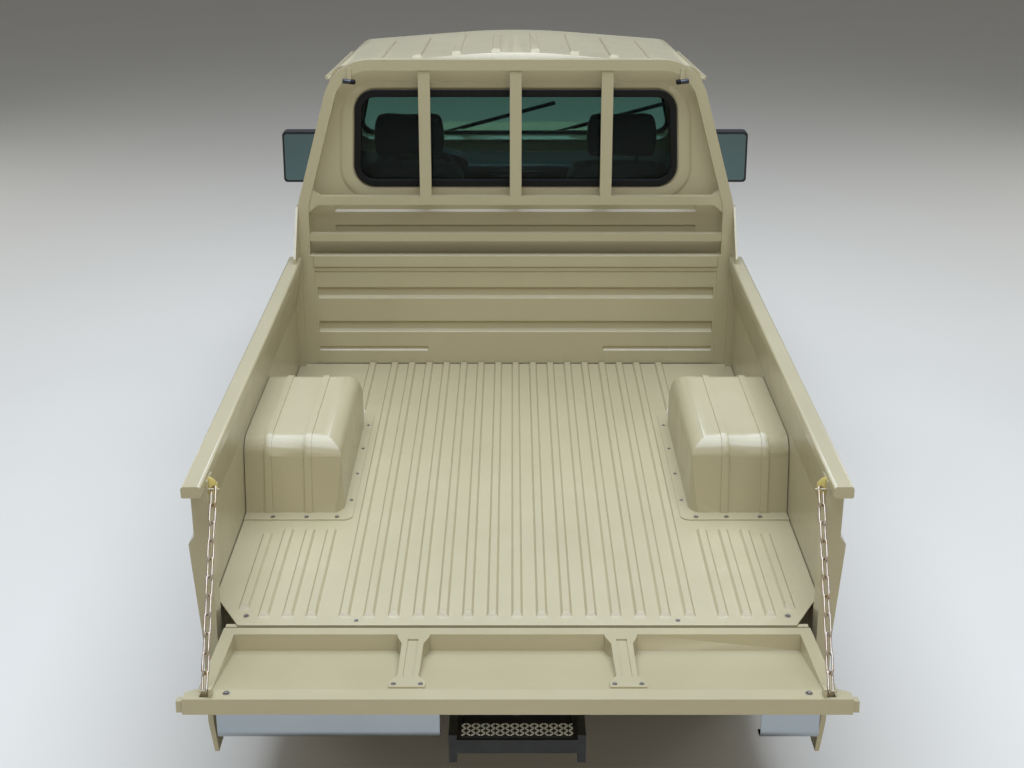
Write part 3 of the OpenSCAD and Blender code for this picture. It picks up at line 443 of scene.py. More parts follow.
def round_rect(x0, x1, y0, y1, r, steps=6):
    """Outline of a rectangle with round corners."""
    corners = ((x1 - r, y1 - r), (x0 + r, y1 - r), (x0 + r, y0 + r), (x1 - r, y0 + r))
    points = []
    for quarter, (cx, cy) in enumerate(corners):
        for i in range(steps + 1):
            a = math.radians(90 * quarter + 90 * i / steps)
            points.append((cx + r * math.cos(a), cy + r * math.sin(a)))
    return points


def bolt(bm, place, r):
    """Hexagon bolt head on its washer, with r the head's radius."""
    washer = [(0, 0), (1.7 * r, 0), (1.7 * r, 0.25 * r), (1.05 * r, 0.3 * r)]
    head = [(r, 0.25 * r), (r, 0.9 * r), (0.82 * r, 1.05 * r), (0, 1.05 * r)]
    lathe(bm, washer, place, 20)
    lathe(bm, head, place, 6)


# Bed fittings

FLOOR_Z, RAIL_Z = 742, 1185  # top of the bed's floor and of its rails
FLANGE_Z, FLANGE_S = FLOOR_Z + 4, 776  # wheelhouse flanges: their top, and the rear one's line
REAR_FLANGE_X = (560, 655, 760)
INNER_FLANGE_X, INNER_FLANGE_S = 526, (905, 1120, 1340, 1560)
FLOOR_BOLTS = ((745, 130, 5), (440, 104, 4))  # x, s and radius
GUARD_X = 841
GUARD_BOLTS = ((2262, -84, 6), (2262, -40, 6), (2150, 12, 4))  # s, height over rail, radius

bm = bmesh.new()
for side in SIDES.values():
    for x in REAR_FLANGE_X:
        bolt(bm, facing(at(side * x, FLANGE_S, FLANGE_Z), UP), 4.5)
    for s in INNER_FLANGE_S:
        bolt(bm, facing(at(side * INNER_FLANGE_X, s, FLANGE_Z), UP), 3.4)
    for x, s, r in FLOOR_BOLTS:
        bolt(bm, facing(at(side * x, s, FLOOR_Z), UP), r)
piece("bed_bolts", bm, "truck", BOLT, 30)

bm = bmesh.new()
for side in SIDES.values():
    for s, rise, r in GUARD_BOLTS:
        bolt(bm, facing(at(side * GUARD_X, s, RAIL_Z + rise), outward(side)), r)
piece("guard_bolts", bm, "truck", BOLT, 30)

# Yellow half-moon lugs behind the chains' upper eyes, in three steps
LUG_X, LUG_S, LUG_Z = 821, 105.2, RAIL_Z - 42
LUG_WIDE, LUG_HIGH = 25, 26
LUG_STEPS = ((0, 2), (2.5, 2.8), (7, 3.4))  # how far each step draws in, and its height
HALF_TURN = [math.radians(angle) for angle in range(-90, 91, 10)]

bm = bmesh.new()
for side in SIDES.values():
    place = facing(at(side * LUG_X, LUG_S, LUG_Z), BACK)
    for inset, rise in LUG_STEPS:
        wide, high = -side * (LUG_WIDE - inset), LUG_HIGH - inset
        plate(bm, [(wide * math.cos(a), high * math.sin(a)) for a in HALF_TURN], place, rise)
piece("chain_lugs", bm, "truck", LUG_YELLOW)

# Bolts on the open tailgate
GATE_S, GATE_Z, GATE_TILT = 50, 724, math.radians(5)
GATE_UP = (0, math.sin(GATE_TILT), math.cos(GATE_TILT))
GATE_SKIN = 18  # its upper face over its middle plane
GATE_BOLTS = ((722, 392, 5.5), (244, 338, 4), (312, 338, 4))  # x, way from hinge, radius


def on_gate(x, u):
    """Point on the open tailgate's upper face, u from its hinge towards the free edge."""
    return at(
        x,
        GATE_S - u * math.cos(GATE_TILT) + GATE_SKIN * math.sin(GATE_TILT),
        GATE_Z + u * math.sin(GATE_TILT) + GATE_SKIN * math.cos(GATE_TILT),
    )


bm = bmesh.new()
for side in SIDES.values():
    for x, u, r in GATE_BOLTS:
        bolt(bm, facing(on_gate(side * x, u), GATE_UP), r)
piece("gate_bolts", bm, "tail_leaf", BOLT, 30)

# Hoop pins: dark sleeves with rubber tips
PIN_S = 2234
PIN_OUTER, PIN_INNER = (644, RAIL_Z + 672), (598, RAIL_Z + 668)  # x and z of a point on each end
SLEEVE = [(0, 0), (8, 0), (9, 2), (9, 30), (7, 31), (0, 31)]
SLEEVE_TIP = [(8, 30), (9.5, 32), (9.5, 44), (7, 47), (0, 48)]

sleeves, tips = bmesh.new(), bmesh.new()
for side in SIDES.values():
    start, end = (at(side * x, PIN_S, z) for x, z in (PIN_OUTER, PIN_INNER))
    pin = facing(start, end - start)
    lathe(sleeves, SLEEVE, pin, 20)
    lathe(tips, SLEEVE_TIP, pin, 20)
piece("hoop_pins", sleeves, "truck", DARK_STEEL)
piece("hoop_pin_tips", tips, "truck", RUBBER)

# Tread plate of the step: crossed raised bars on a sheet painted near white, a painted sheen in
# place of the alloy's bright reflection
STEP_Z, STEP_X, STEP_S = 520, 149, (-127, -62.5)
SHEET, BAR_RISE = 1.2, 1.6
BAR = [(-8, 0), (-5, -2.2), (5, -2.2), (8, 0), (5, 2.2), (-5, 2.2)]
BAR_PITCH_X, BAR_PITCH_S, FIRST_BAR_S = 13, 12.2, -119

bm = bmesh.new()
plate(bm, round_rect(-STEP_X, STEP_X, *STEP_S, 3), facing(at(0, 0, STEP_Z), UP), SHEET)
for i in range(-11, 12):
    for j in range(5):
        spot = at(BAR_PITCH_X * i, FIRST_BAR_S + BAR_PITCH_S * j, STEP_Z + SHEET)
        slant = turn(45 if (i + j) % 2 else -45, "Z")
        plate(bm, BAR, facing(spot, UP) @ slant, BAR_RISE)
piece("step_tread", bm, "truck", TREAD_PAINTED_SHEEN, 30)

# Mirrors' silvered glass behind a narrow rim
MIRROR_X, MIRROR_S, MIRROR_Z = 994, 3656.5, 1265
for name, side in SIDES.items():
    bm = bmesh.new()
    place = facing(at(side * MIRROR_X, MIRROR_S, MIRROR_Z), BACK)
    plate(bm, round_rect(-76, 76, -108, 108, 14), place, 2.5)
    piece("mirror_glass_" + name, bm, name + "_door", MIRROR, 30)


# Wheels

WHEELS = {f"{end}_{name}": side for end in ("front", "rear") for name, side in SIDES.items()}
TYRE_R, CROWN_DROP, BELT_X = 400, 12, 97  # crown radius, its fall to the belt's edges, half belt
RIBS = [(-97, -65), (-58, -24), (-17, 17), (24, 58), (65, 97)]
GROOVE_LEAN = 1.5
TREAD_DEEP, PITCHES = 9, 34
SIDEWALL = [  # half width and radius, from tread to bead
    (102, 372), (105, 356), (106.4, 352), (106.4, 346), (105.2, 343), (106, 325), (105, 300),
    (101, 276), (95, 254), (88, 236), (82, 225), (78, 222), (77, 214), (77, 201),
]
# Share of a pitch, and whether the blocks stand there
BLOCK_STEPS = [(0.0, False), (0.16, False), (0.2, True), (0.96, True)]
NUTS, NUT_CIRCLE, NUT_X, NUT_R = 6, 88, 52, 10
HUB_X = 82
HUB_CAP = [(58, 0), (56, 6), (48, 10), (30, 12), (28, 24), (24, 27), (0, 27)]


def tread_r(x):
    return TYRE_R - CROWN_DROP * (abs(x) / BELT_X) ** 3


def tyre_section():
    """Points (x, radius, row of blocks or None) across the tyre, from bead to bead."""
    section = [(-x, r, None) for x, r in reversed(SIDEWALL)]
    for row, (x0, x1) in enumerate(RIBS):
        section += [(x, tread_r(x), row) for x in (x0, x1)]
        if row < len(RIBS) - 1:
            walls = (x1 + GROOVE_LEAN, RIBS[row + 1][0] - GROOVE_LEAN)
            section += [(x, tread_r(x1) - TREAD_DEEP, None) for x in walls]
    return section + [(x, r, None) for x, r in SIDEWALL]


def tyre_mesh(centre, side):
    """Tyre with five rows of staggered blocks, turned round the wheel's axle."""
    section = tyre_section()
    bm = bmesh.new()
    rings = []
    for k in range(PITCHES * len(BLOCK_STEPS)):
        share, stands = BLOCK_STEPS[k % len(BLOCK_STEPS)]
        ring = []
        for x, r, row in section:
            stagger = 0.5 * (row % 2) if row is not None else 0.0
            a = 2 * math.pi * (k // len(BLOCK_STEPS) + share + stagger) / PITCHES
            height = r if row is None or stands else r - TREAD_DEEP
            spot = Vector((side * x, height * math.cos(a), height * math.sin(a)))
            ring.append(bm.verts.new(centre + spot * MM))
        rings.append(ring)
    skin(bm, rings, loop=True)
    return bm


for wheel, side in WHEELS.items():
    low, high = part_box("tyre_" + wheel)
    hub = (low + high) / 2
    tyre = piece("tread_" + wheel, tyre_mesh(hub, side), wheel + "_wheel", TYRE, 30)
    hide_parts("tyre_" + wheel)
    bm = bmesh.new()
    for i in range(NUTS):
        a = math.radians(360 / NUTS * (i + 0.5))
        spot = Vector((side * NUT_X, NUT_CIRCLE * math.cos(a), NUT_CIRCLE * math.sin(a))) * MM
        bolt(bm, facing(hub + spot, outward(side)), NUT_R)
    cap = facing(hub + Vector((side * HUB_X, 0, 0)) * MM, outward(side))
    lathe(bm, HUB_CAP, cap, 32)
    piece("wheel_nuts_" + wheel, bm, wheel + "_wheel", STEEL, 35)

# Bright rims of the headlamps
LAMP_X, LAMP_Z, NOSE_S = 520, 945, 5060
LAMP_RIM = [(93, 22), (93, 30), (99, 34), (108, 32), (111, 26), (111, 22)]

bm = bmesh.new()
for side in SIDES.values():
    lathe(bm, LAMP_RIM, facing(at(side * LAMP_X, NOSE_S, LAMP_Z), FRONT), 48, hollow=True)
piece("lamp_rims", bm, "truck", CHROME)

# Front coil springs round their dampers
COIL_X, COIL_S, COIL_LOW, COIL_HIGH = 480, 4410, 428, 616
COIL_R, COIL_WIRE = 58, 7
COIL_TURNS, COIL_STEPS = 6, 20

bm = bmesh.new()
for side in SIDES.values():
    path = []
    for i in range(COIL_TURNS * COIL_STEPS + 1):
        a = 2 * math.pi * i / COIL_STEPS
        z = COIL_LOW + (COIL_HIGH - COIL_LOW) * i / (COIL_TURNS * COIL_STEPS)
        path.append(at(side * COIL_X + COIL_R * math.cos(a), COIL_S + COIL_R * math.sin(a), z))
    tube(bm, path, COIL_WIRE, 8)
piece("coil_springs", bm, "truck", FRAME_BLACK)


# Seats

SEAT_X, SEAT_S, SEAT_Z = 425, 2810, 712
FLAT = Matrix.Translation(at(0, SEAT_S, SEAT_Z))
LEAN = Matrix.Translation(at(0, SEAT_S - 58, SEAT_Z + 290)) @ turn(12, "X")
VOXEL_M, PRESSURE, LAST_STEP = 0.009, 4.0, 20
PAD_CUTS = 23


def swelled(obj, cap):
    """Lets cloth under pressure swell out of the mesh, no point further than cap metres."""
    remesh = obj.modifiers.new("even", "REMESH")
    remesh.mode = "VOXEL"
    remesh.voxel_size = VOXEL_M
    graph = bpy.context.evaluated_depsgraph_get()
    obj.data = bpy.data.meshes.new_from_object(obj.evaluated_get(graph))
    obj.modifiers.clear()
    start = [v.co.copy() for v in obj.data.vertices]
    soft = obj.modifiers.new("cover", "CLOTH")
    soft.settings.use_pressure = True
    soft.settings.uniform_pressure_force = PRESSURE
    soft.settings.effector_weights.gravity = 0.0
    soft.point_cache.frame_start, soft.point_cache.frame_end = 1, LAST_STEP
    for step in range(1, LAST_STEP + 1):
        scene.frame_set(step)
    graph = bpy.context.evaluated_depsgraph_get()
    swollen = bpy.data.meshes.new_from_object(obj.evaluated_get(graph))
    obj.modifiers.clear()
    scene.frame_set(1)
    for vert, rest in zip(swollen.vertices, start):
        move = vert.co - rest
        if move.length > cap:
            vert.co = rest + move * (cap / move.length)
    obj.data = swollen


def pad(name, half, place, power, shape, seams, cap):
    """Padded cover: a rounded block of half sizes, shaped, swelled as cloth, then sewn.

    shape(x, y, z) gives a point's shift and seams(x, y, z) the depth of the sewing there.
    The block is the rounder the lower its power is, and cap is in metres.
    """
    bm = bmesh.new()
    bmesh.ops.create_cube(bm, size=2.0)
    bmesh.ops.subdivide_edges(bm, edges=bm.edges[:], cuts=PAD_CUTS, use_grid_fill=True)
    for v in bm.verts:
        ball = sum(abs(c) ** power for c in v.co) ** (1 / power)
        v.co = Vector(c / ball * h for c, h in zip(v.co, half))
        v.co += Vector(shape(*v.co))
        v.co *= MM
    mesh = bpy.data.meshes.new(name)
    bm.to_mesh(mesh)
    bm.free()
    obj = bpy.data.objects.new(name, mesh)
    scene.collection.objects.link(obj)
    swelled(obj, cap)
    obj.data.update()
    normals = [v.normal.copy() for v in obj.data.vertices]
    for v, normal in zip(obj.data.vertices, normals):
        v.co -= normal * seams(*(v.co / MM)) * MM
    obj.data.transform(place)
    obj.data.polygons.foreach_set("use_smooth", [True] * len(obj.data.polygons))
    obj.modifiers.new("fine", "SUBSURF").render_levels = 1
    assign(obj, SEAT_CLOTH_PAINTED_SHADE)
    return obj


def groove(distance, width, depth):
    """Depth of a sewn seam at a distance from its line."""
    return depth * math.exp(-((distance / width) ** 2))


CUSHION_SEAM_X, CUSHION_CHANNELS = 158, (-110, -20, 70, 160)
BACK_SEAM_X, BACK_EDGE_X, BACK_CHANNELS = 150, 205, (-150, -60, 30, 120)
REST_SEAM_X = 104


def cushion_shape(x, y, z):
    bolster = 16 * max(0.0, (abs(x) - 120) / 130) ** 1.5
    return (0, 0, (bolster - 10 * math.cos(math.pi * x / 500)) if z > 0 else 0)


def cushion_seams(x, y, z):
    if z < 0:
        return 0.0
    lines = [groove(abs(x) - CUSHION_SEAM_X, 7, 9)]
    if abs(x) < CUSHION_SEAM_X:
        lines += [groove(y - line, 6, 5) for line in CUSHION_CHANNELS]
    return max(lines)


def back_shape(x, y, z):
    bolster = 20 * max(0.0, (abs(x) - 120) / 125) ** 1.5
    return (-0.05 * x * max(0.0, z / 240), bolster if y > 0 else 0, 0)


def back_seams(x, y, z):
    if y <= 0:
        return groove(abs(x) - BACK_EDGE_X, 6, 4)
    lines = [groove(abs(x) - BACK_SEAM_X, 7, 9)]
    if abs(x) < BACK_SEAM_X:
        lines += [groove(z - line, 6, 5) for line in BACK_CHANNELS]
    return max(lines)


def rest_shape(x, y, z):
    return (-0.07 * x * max(0.0, z / 90), 0, 0)


def rest_seams(x, y, z):
    return groove(abs(x) - REST_SEAM_X, 6, 5)


# Half sizes, placement, power, shape, seams and the cloth's cap in metres
SEAT_PADS = {
    "cushion": (
        (246, 241, 66), FLAT @ shift(0, 130, 225), 6, cushion_shape, cushion_seams, 0.012
    ),
    "backrest": ((236, 46, 236), LEAN @ shift(0, 0, 245), 6, back_shape, back_seams, 0.012),
    "head_rest": ((142, 38, 90), LEAN @ shift(0, 0, 586), 7, rest_shape, rest_seams, 0.008),
}

for kind, settings in SEAT_PADS.items():
    first = pad("seat_" + kind + "_left", *settings)
    second = first.copy()
    second.data = first.data.copy()
    second.name = "seat_" + kind + "_right"
    scene.collection.objects.link(second)
    for obj, side in ((first, LEFT), (second, RIGHT)):
        obj.data.transform(shift(side * SEAT_X, 0, 0))
        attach(obj, "truck")
    if kind == "cushion":
        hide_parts("seats")

# Boxes and runners under the seats, and the knobs that set their backs
RUNNER_X, RUNNER_HIGH, BOX_HIGH = 150, 30, 112
RECLINE_KNOB = [(0, -14), (40, -14), (46, -8), (46, 8), (40, 14), (0, 14)]
HEAD_POST_X, HEAD_POST = 63, [(0, 0), (6, 0), (6, 90), (0, 90)]

bm = bmesh.new()
for side in SIDES.values():
    seat = shift(side * SEAT_X, 0, 0) @ FLAT
    plate(bm, round_rect(-190, 190, -88, 308, 24), seat @ shift(0, 0, RUNNER_HIGH), BOX_HIGH)
    for x in (-RUNNER_X, RUNNER_X):
        plate(bm, round_rect(x - 20, x + 20, -90, 310, 6), seat, RUNNER_HIGH)
    lathe(bm, RECLINE_KNOB, seat @ shift(side * -236, -58, 300) @ turn(90, "Y"), 28)
piece("seat_frames", bm, "truck", FRAME_BLACK, 35)

bm = bmesh.new()
for side in SIDES.values():
    for x in (-HEAD_POST_X, HEAD_POST_X):
        lathe(bm, HEAD_POST, shift(side * SEAT_X, 0, 0) @ LEAN @ shift(x, 0, 440), 16)
piece("head_rest_posts", bm, "truck", CHROME)


# Rear window surround, pressed out of the cab's back

CAB_S = 2330
WINDOW_HALF, WINDOW_TOP_HALF, WINDOW_LOW, WINDOW_HIGH = 623, 609, 1438, 1810
WINDOW_CORNER, MOST_ABOVE = 80, 28
# How far each row lies outside the opening, and how proud of the cab's back it stands
SURROUND = ((60, -0.6), (55, 0.8), (49, 4.6), (44, 5.6), (10, 5.6), (5, 4.6), (1.5, -0.6))


def window_loop(grow):
    """Outline of the opening, larger by grow and narrower towards its top."""
    half, low, high = WINDOW_HALF, WINDOW_LOW, WINDOW_HIGH
    taper = (half - WINDOW_TOP_HALF) / half / (high - low)
    top = high + min(grow, MOST_ABOVE)
    points = round_rect(-half - grow, half + grow, low - grow, top, WINDOW_CORNER + grow, 10)
    return [(x * (1 - taper * (z - low)), z) for x, z in points]


bm = bmesh.new()
rows = []
for grow, proud in SURROUND:
    rows.append([bm.verts.new(at(x, CAB_S - proud, z)) for x, z in window_loop(grow)])
skin(bm, rows, loop=True)
piece("window_surround", bm, "truck", PAINT, 50)


# Doors

SAME_POINT_M, BEAD_GAP_M = 1e-5, 0.02
BEAD_R = 7
DOOR_LOCK = [(13, 0), (13, 3), (11, 4.5), (5, 4.5), (4, 3.4), (0, 3.4)]


def outer_rim(name, side):
    """Corner points round the outward face of a pane."""
    bm = bmesh.new()
    bm.from_mesh(nodes[name].data)
    bmesh.ops.remove_doubles(bm, verts=bm.verts, dist=SAME_POINT_M)
    faces = {f for f in bm.faces if f.normal.x * side > 0.5}
    ways = {}
    for edge in bm.edges:
        if sum(f in faces for f in edge.link_faces) == 1:
            for v in edge.verts:
                ways.setdefault(v, []).append(edge.other_vert(v))
    first = min(ways, key=lambda v: v.co.y)
    ring, last = [first], None
    while True:
        step = next((v for v in ways[ring[-1]] if v != last), None)
        if step is None or step == first:
            break
        last = ring[-1]
        ring.append(step)
    points = [v.co.copy() for v in ring]
    bm.free()
    return points


def evened(points, gap):
    """The closed path again, in steps of about gap metres."""
    out = []
    for a, b in zip(points, points[1:] + points[:1]):
        count = max(1, round((b - a).length / gap))
        out += [a.lerp(b, i / count) for i in range(count)]
    return out


# Rubber beads along the rim of the glass, and the locks
for name, side in SIDES.items():
    bm = bmesh.new()
    rim = outer_rim("door_glass_" + name, side)
    tube(bm, evened(rim, BEAD_GAP_M), BEAD_R, 8, closed=True)
    piece("door_bead_" + name, bm, name + "_door", RUBBER)
    bm = bmesh.new()
    lathe(bm, DOOR_LOCK, facing(at(side * 838, 3032, 1126), outward(side)), 24)
    piece("door_lock_" + name, bm, name + "_door", CHROME)

# Trim panels, pulls, window cranks and catches inside the doors
CARD_X, CARD_RISE = 804.5, 9
# Stations, heights, corner radius and rise of the panel and of its padded field
CARD_LAYERS = ((2862, 3772, 738, 1236, 46, 5), (2930, 3704, 806, 1178, 34, CARD_RISE))
PULL_Z, PULL_R = 985, 15
PULL = [  # x and s
    (800, 3130), (778, 3142), (766, 3176), (764, 3230),
    (764, 3400), (766, 3454), (778, 3488), (800, 3500),
]
CRANK_S, CRANK_Z, KNOB_S, KNOB_Z = 3330, 1112, 3412, 1056
CRANK_HUB = [(24, 0), (24, 3), (15, 8), (13, 20), (0, 21)]
CRANK_KNOB = [(0, 10), (7, 10), (10, 15), (10, 27), (7, 31), (0, 32)]
CRANK_LIFT, CRANK_R = 16, 5
CATCH_S, CATCH_Z = 3600, 1096

for name, side in SIDES.items():
    inward = outward(-side)
    card = bmesh.new()
    for s0, s1, z0, z1, r, rise in CARD_LAYERS:
        ends = sorted((-side * s0, -side * s1))
        plate(card, round_rect(*ends, z0, z1, r), facing(at(side * CARD_X, 0, 0), inward), rise)
    tube(card, [at(side * x, s, PULL_Z) for x, s in PULL], PULL_R, 14)
    piece("door_card_" + name, card, name + "_door", PLASTIC, 30)

    crank = bmesh.new()
    card_face = side * (CARD_X - CARD_RISE)
    hub, knob = at(card_face, CRANK_S, CRANK_Z), at(card_face, KNOB_S, KNOB_Z)
    lift = Vector(inward) * CRANK_LIFT * MM
    lathe(crank, CRANK_HUB, facing(hub, inward))
    tube(crank, [hub + lift, hub.lerp(knob, 0.5) + lift * 1.3, knob + lift], CRANK_R, 10)
    lathe(crank, CRANK_KNOB, facing(knob, inward))
    catch = facing(at(card_face, CATCH_S, CATCH_Z), inward)
    plate(crank, round_rect(-52, 52, -20, 20, 14), catch, 3)
    plate(crank, round_rect(-42, 30, -8, 8, 7), catch, 12)
    piece("door_crank_" + name, crank, name + "_door", DARK_STEEL, 30)


# Cab floor and bed side

# Ribbed rubber covering of the cab floor
COVER_Z, COVER_THICK, COVER_RIB = 711.5, 4, 7
RIB_START, RIB_PITCH, RIB_COUNT = 300, 48, 10

bm = bmesh.new()
deck = Matrix.Translation(at(0, 0, COVER_Z))
plate(bm, round_rect(-790, 790, 2424, 3790, 30), deck, COVER_THICK)
for side in SIDES.values():
    for i in range(RIB_COUNT):
        x = side * (RIB_START + RIB_PITCH * i)
        plate(bm, round_rect(x - 9, x + 9, 3240, 3740, 8, 3), deck, COVER_RIB)
piece("floor_covering", bm, "truck", RUBBER, 30)

# Fuel filler cap on the bed's left side
FILLER_CAP = [(52, -4), (52, 3), (47, 6), (36, 6), (34, 9), (30, 16), (26, 18), (0, 18)]

bm = bmesh.new()
cap = facing(at(-877, 1900, RAIL_Z - 216), outward(LEFT))
lathe(bm, FILLER_CAP, cap, 36)
plate(bm, round_rect(-26, 26, -5, 5, 4), cap @ shift(0, 0, 17), 7)
piece("filler_cap", bm, "truck", PLASTIC)


# Dashboard fittings

DASH_S, DASH_LOW_S, DASH_LOW_Z = 3562, 3600, 1010
DASH_RISE, DASH_RUN = 230, 40  # how far its leaning face rises, and comes back as it does
DRIVER_X, DIAL_Z = -425, 1252


def on_dash(x, z):
    """Placement on the dashboard's leaning face."""
    s = DASH_LOW_S - DASH_RUN * (z - DASH_LOW_Z) / DASH_RISE
    return facing(at(x, s, z), (0, -DASH_RISE, -DASH_RUN))


# Hood over the instruments: arches at stations from DASH_S, each grown by so much
HOOD_ARCHES = ((-34, 0), (-20, 8), (60, 2), (160, -22))
HOOD_HALF, HOOD_HIGH, HOOD_STEPS = 205, 58, 24
HOOD_WALL_M = 0.008

bm = bmesh.new()
rows = []
for ahead, grow in HOOD_ARCHES:
    row = []
    for i in range(HOOD_STEPS + 1):
        a = math.pi * i / HOOD_STEPS
        across = math.copysign(abs(math.cos(a)) ** 0.6, math.cos(a))
        x = DRIVER_X + (HOOD_HALF + grow) * across
        z = DIAL_Z + (HOOD_HIGH + grow * 0.6) * math.sin(a) ** 0.7
        row.append(bm.verts.new(at(x, DASH_S + ahead, z)))
    rows.append(row)
skin(bm, rows, ring=False)
bm.faces.new(rows[-1])
hood = piece("instrument_hood", bm, "truck", PLASTIC, 50)
hood.modifiers.new("wall", "SOLIDIFY").thickness = HOOD_WALL_M

# Dials: a plate, bright rims, scale marks and needles
DIALS = ((-92, 38), (92, 38), (0, 24))  # place across the plate, and radius
DIAL_MARKS, FIRST_MARK, MARK_STEP = 13, -120, 20
NEEDLE_TURN = Matrix.Rotation(0.9, 4, "Z")

bm = bmesh.new()
dial_face = facing(at(DRIVER_X, DASH_S - 4, DIAL_Z), BACK)
plate(bm, round_rect(-190, 190, -40, 44, 18), dial_face, 3)
piece("instrument_plate", bm, "truck", PLASTIC, 30)

rims, marks = bmesh.new(), bmesh.new()
for x, r in DIALS:
    spot = dial_face @ shift(x, 2, 3)
    rim = [(r, 0), (r + 3, 2), (r + 5, 4), (r + 7, 2), (r + 7, 0)]
    mark = [(-0.8, r - 7), (0.8, r - 7), (0.8, r - 2), (-0.8, r - 2)]
    needle = [(-1.4, -6), (1.4, -6), (0.5, r - 9), (-0.5, r - 9)]
    lathe(rims, rim, spot, 36, hollow=True)
    for i in range(DIAL_MARKS):
        plate(marks, mark, spot @ turn(FIRST_MARK + MARK_STEP * i, "Z"), 0.6)
    plate(marks, needle, spot @ NEEDLE_TURN, 1.6)
piece("dial_rims", rims, "truck", CHROME)
piece("dial_marks", marks, "truck", HEAD_LENS)

# Glove box lid, air slats, radio and heater knobs
RADIO_Z, HEATER_Z = 1112, 1050
SLAT_TOP, SLAT_STEP, SLAT_TILT = 1218, 11, 24
RADIO_KNOB = [(13, 8), (13, 18), (11, 21), (0, 21)]
HEATER_KNOB = [(19, 0), (19, 8), (14, 10), (12, 22), (0, 23)]

bm = bmesh.new()
plate(bm, round_rect(-210, 210, -62, 62, 16), on_dash(430, 1130), 7)
for x in (-60, 60):
    for i in range(6):
        slat = on_dash(x, SLAT_TOP - SLAT_STEP * i) @ turn(SLAT_TILT, "X")
        plate(bm, round_rect(-48, 48, -4, 4, 1.5), slat, 5)
plate(bm, round_rect(-96, 96, -30, 30, 6), on_dash(0, RADIO_Z), 8)
for x in (-74, 74):
    lathe(bm, RADIO_KNOB, on_dash(x, RADIO_Z), 24)
for x in (-60, 0, 60):
    lathe(bm, HEATER_KNOB, on_dash(x, HEATER_Z), 28)
piece("dash_fittings", bm, "truck", PLASTIC, 35)

# Levers and pedals
CAB_FLOOR_Z = 712
LEVERS = ((40, 3300, 1010, -60), (110, 3240, 930, -30))  # x, s, top and bend
LEVER_STEPS = 10
LEVER_BOOT = [(62, 0), (56, 12), (44, 26), (36, 40), (24, 58), (14, 82), (8, 90)]
LEVER_KNOB = [(8, -8), (16, 0), (22, 14), (23, 28), (17, 40), (0, 45)]
PEDALS = ((-545, 34), (-445, 34), (-345, 24))  # x and half width
PEDAL_S, PEDAL_Z, PEDAL_FACE, PEDAL_THICK = 3800, 960, (0, -0.8, 0.6), 9

bm = bmesh.new()
for x, s, top, bend in LEVERS:
    path = []
    for i in range(LEVER_STEPS + 1):
        share = i / LEVER_STEPS
        path.append(at(x, s + bend * share**2, CAB_FLOOR_Z + (top - CAB_FLOOR_Z) * share))
    tube(bm, path, 8, 12)
    lathe(bm, LEVER_BOOT, facing(path[0], UP), 28)
    lathe(bm, LEVER_KNOB, facing(path[-1], UP), 24)
for x, wide in PEDALS:
    arm = [at(x, PEDAL_S - 8 * i - 0.9 * i * i, PEDAL_Z - 20 * i) for i in range(9)]
    tube(bm, arm, 7, 10)
    face = facing(arm[-1], PEDAL_FACE)
    plate(bm, round_rect(-wide, wide, -26, 26, 7), face, PEDAL_THICK)
    for i in range(5):
        rib = round_rect(4 - wide, wide - 4, -21 + 9 * i, -16 + 9 * i, 2)
        plate(bm, rib, face @ shift(0, 0, PEDAL_THICK), 2.5)
piece("levers_and_pedals", bm, "truck", RUBBER, 40)

# Inside mirror: rows grown from its outline, each at a depth behind the front
MIRROR_ROWS = ((-6, 4), (-6, 0), (0, 3), (0, 10), (-4, 20), (-14, 28))
MIRROR_STEM = [(3540, 1672), (3548, 1700), (3550, 1740), (3548, 1776)]  # s and z

bm = bmesh.new()
place = facing(at(0, 3520, 1668), (0, -1, -0.12))
rows = []
for grow, depth in MIRROR_ROWS:
    outline = round_rect(-122 - grow, 122 + grow, -30 - grow, 30 + grow, 24 + grow)
    rows.append([bm.verts.new(place @ (Vector((x, y, -depth)) * MM)) for x, y in outline])
skin(bm, rows)
bm.faces.new(rows[0])
bm.faces.new(rows[-1])
tube(bm, [at(0, s, z) for s, z in MIRROR_STEM], 8, 12)
piece("inside_mirror", bm, "truck", PLASTIC)

bm = bmesh.new()
plate(bm, round_rect(-116, 116, -25, 25, 20), place @ shift(0, 0, -2), 1.5)
piece("inside_mirror_glass", bm, "truck", MIRROR, 30)


# Nose and engine bay

# Dark mesh behind the grille bars
MESH_S, MESH_HALF, MESH_BARS = 5059, 366, 30
MESH_LOW, MESH_HIGH = 790, 1060

bm = bmesh.new()
mesh_face = facing(at(0, MESH_S, 0), FRONT)
for i in range(MESH_BARS):
    x = -MESH_HALF + 2 * MESH_HALF * i / (MESH_BARS - 1)
    bar = [(x - 2, MESH_LOW), (x + 2, MESH_LOW), (x + 2, MESH_HIGH), (x - 2, MESH_HIGH)]
    plate(bm, bar, mesh_face, 2)
piece("grille_mesh", bm, "truck", FRAME_BLACK, 30)

ENGINE_TOP, WING_SHELF = 1039.5, 1049.5


def stack(bm, x, s, z, layers):
    """Rounded slabs on one centre, each of half sizes, corner radius, low and high end."""
    for half_x, half_s, r, low, high in layers:
        outline = round_rect(x - half_x, x + half_x, s - half_s, s + half_s, r)
        plate(bm, outline, Matrix.Translation(at(0, 0, z + low)), high - low)


def hose(bm, points, radius, sides):
    """Tube through points of x, s and z."""
    tube(bm, [at(*point) for point in points], radius, sides)


# Ribbed rocker cover with its oil cap
COVER_LAYERS = ((96, 330, 26, 0, 8), (86, 318, 34, 8, 56), (78, 310, 36, 56, 64))
OIL_CAP = [(30, 64), (30, 76), (34, 78), (34, 92), (28, 97), (0, 97)]

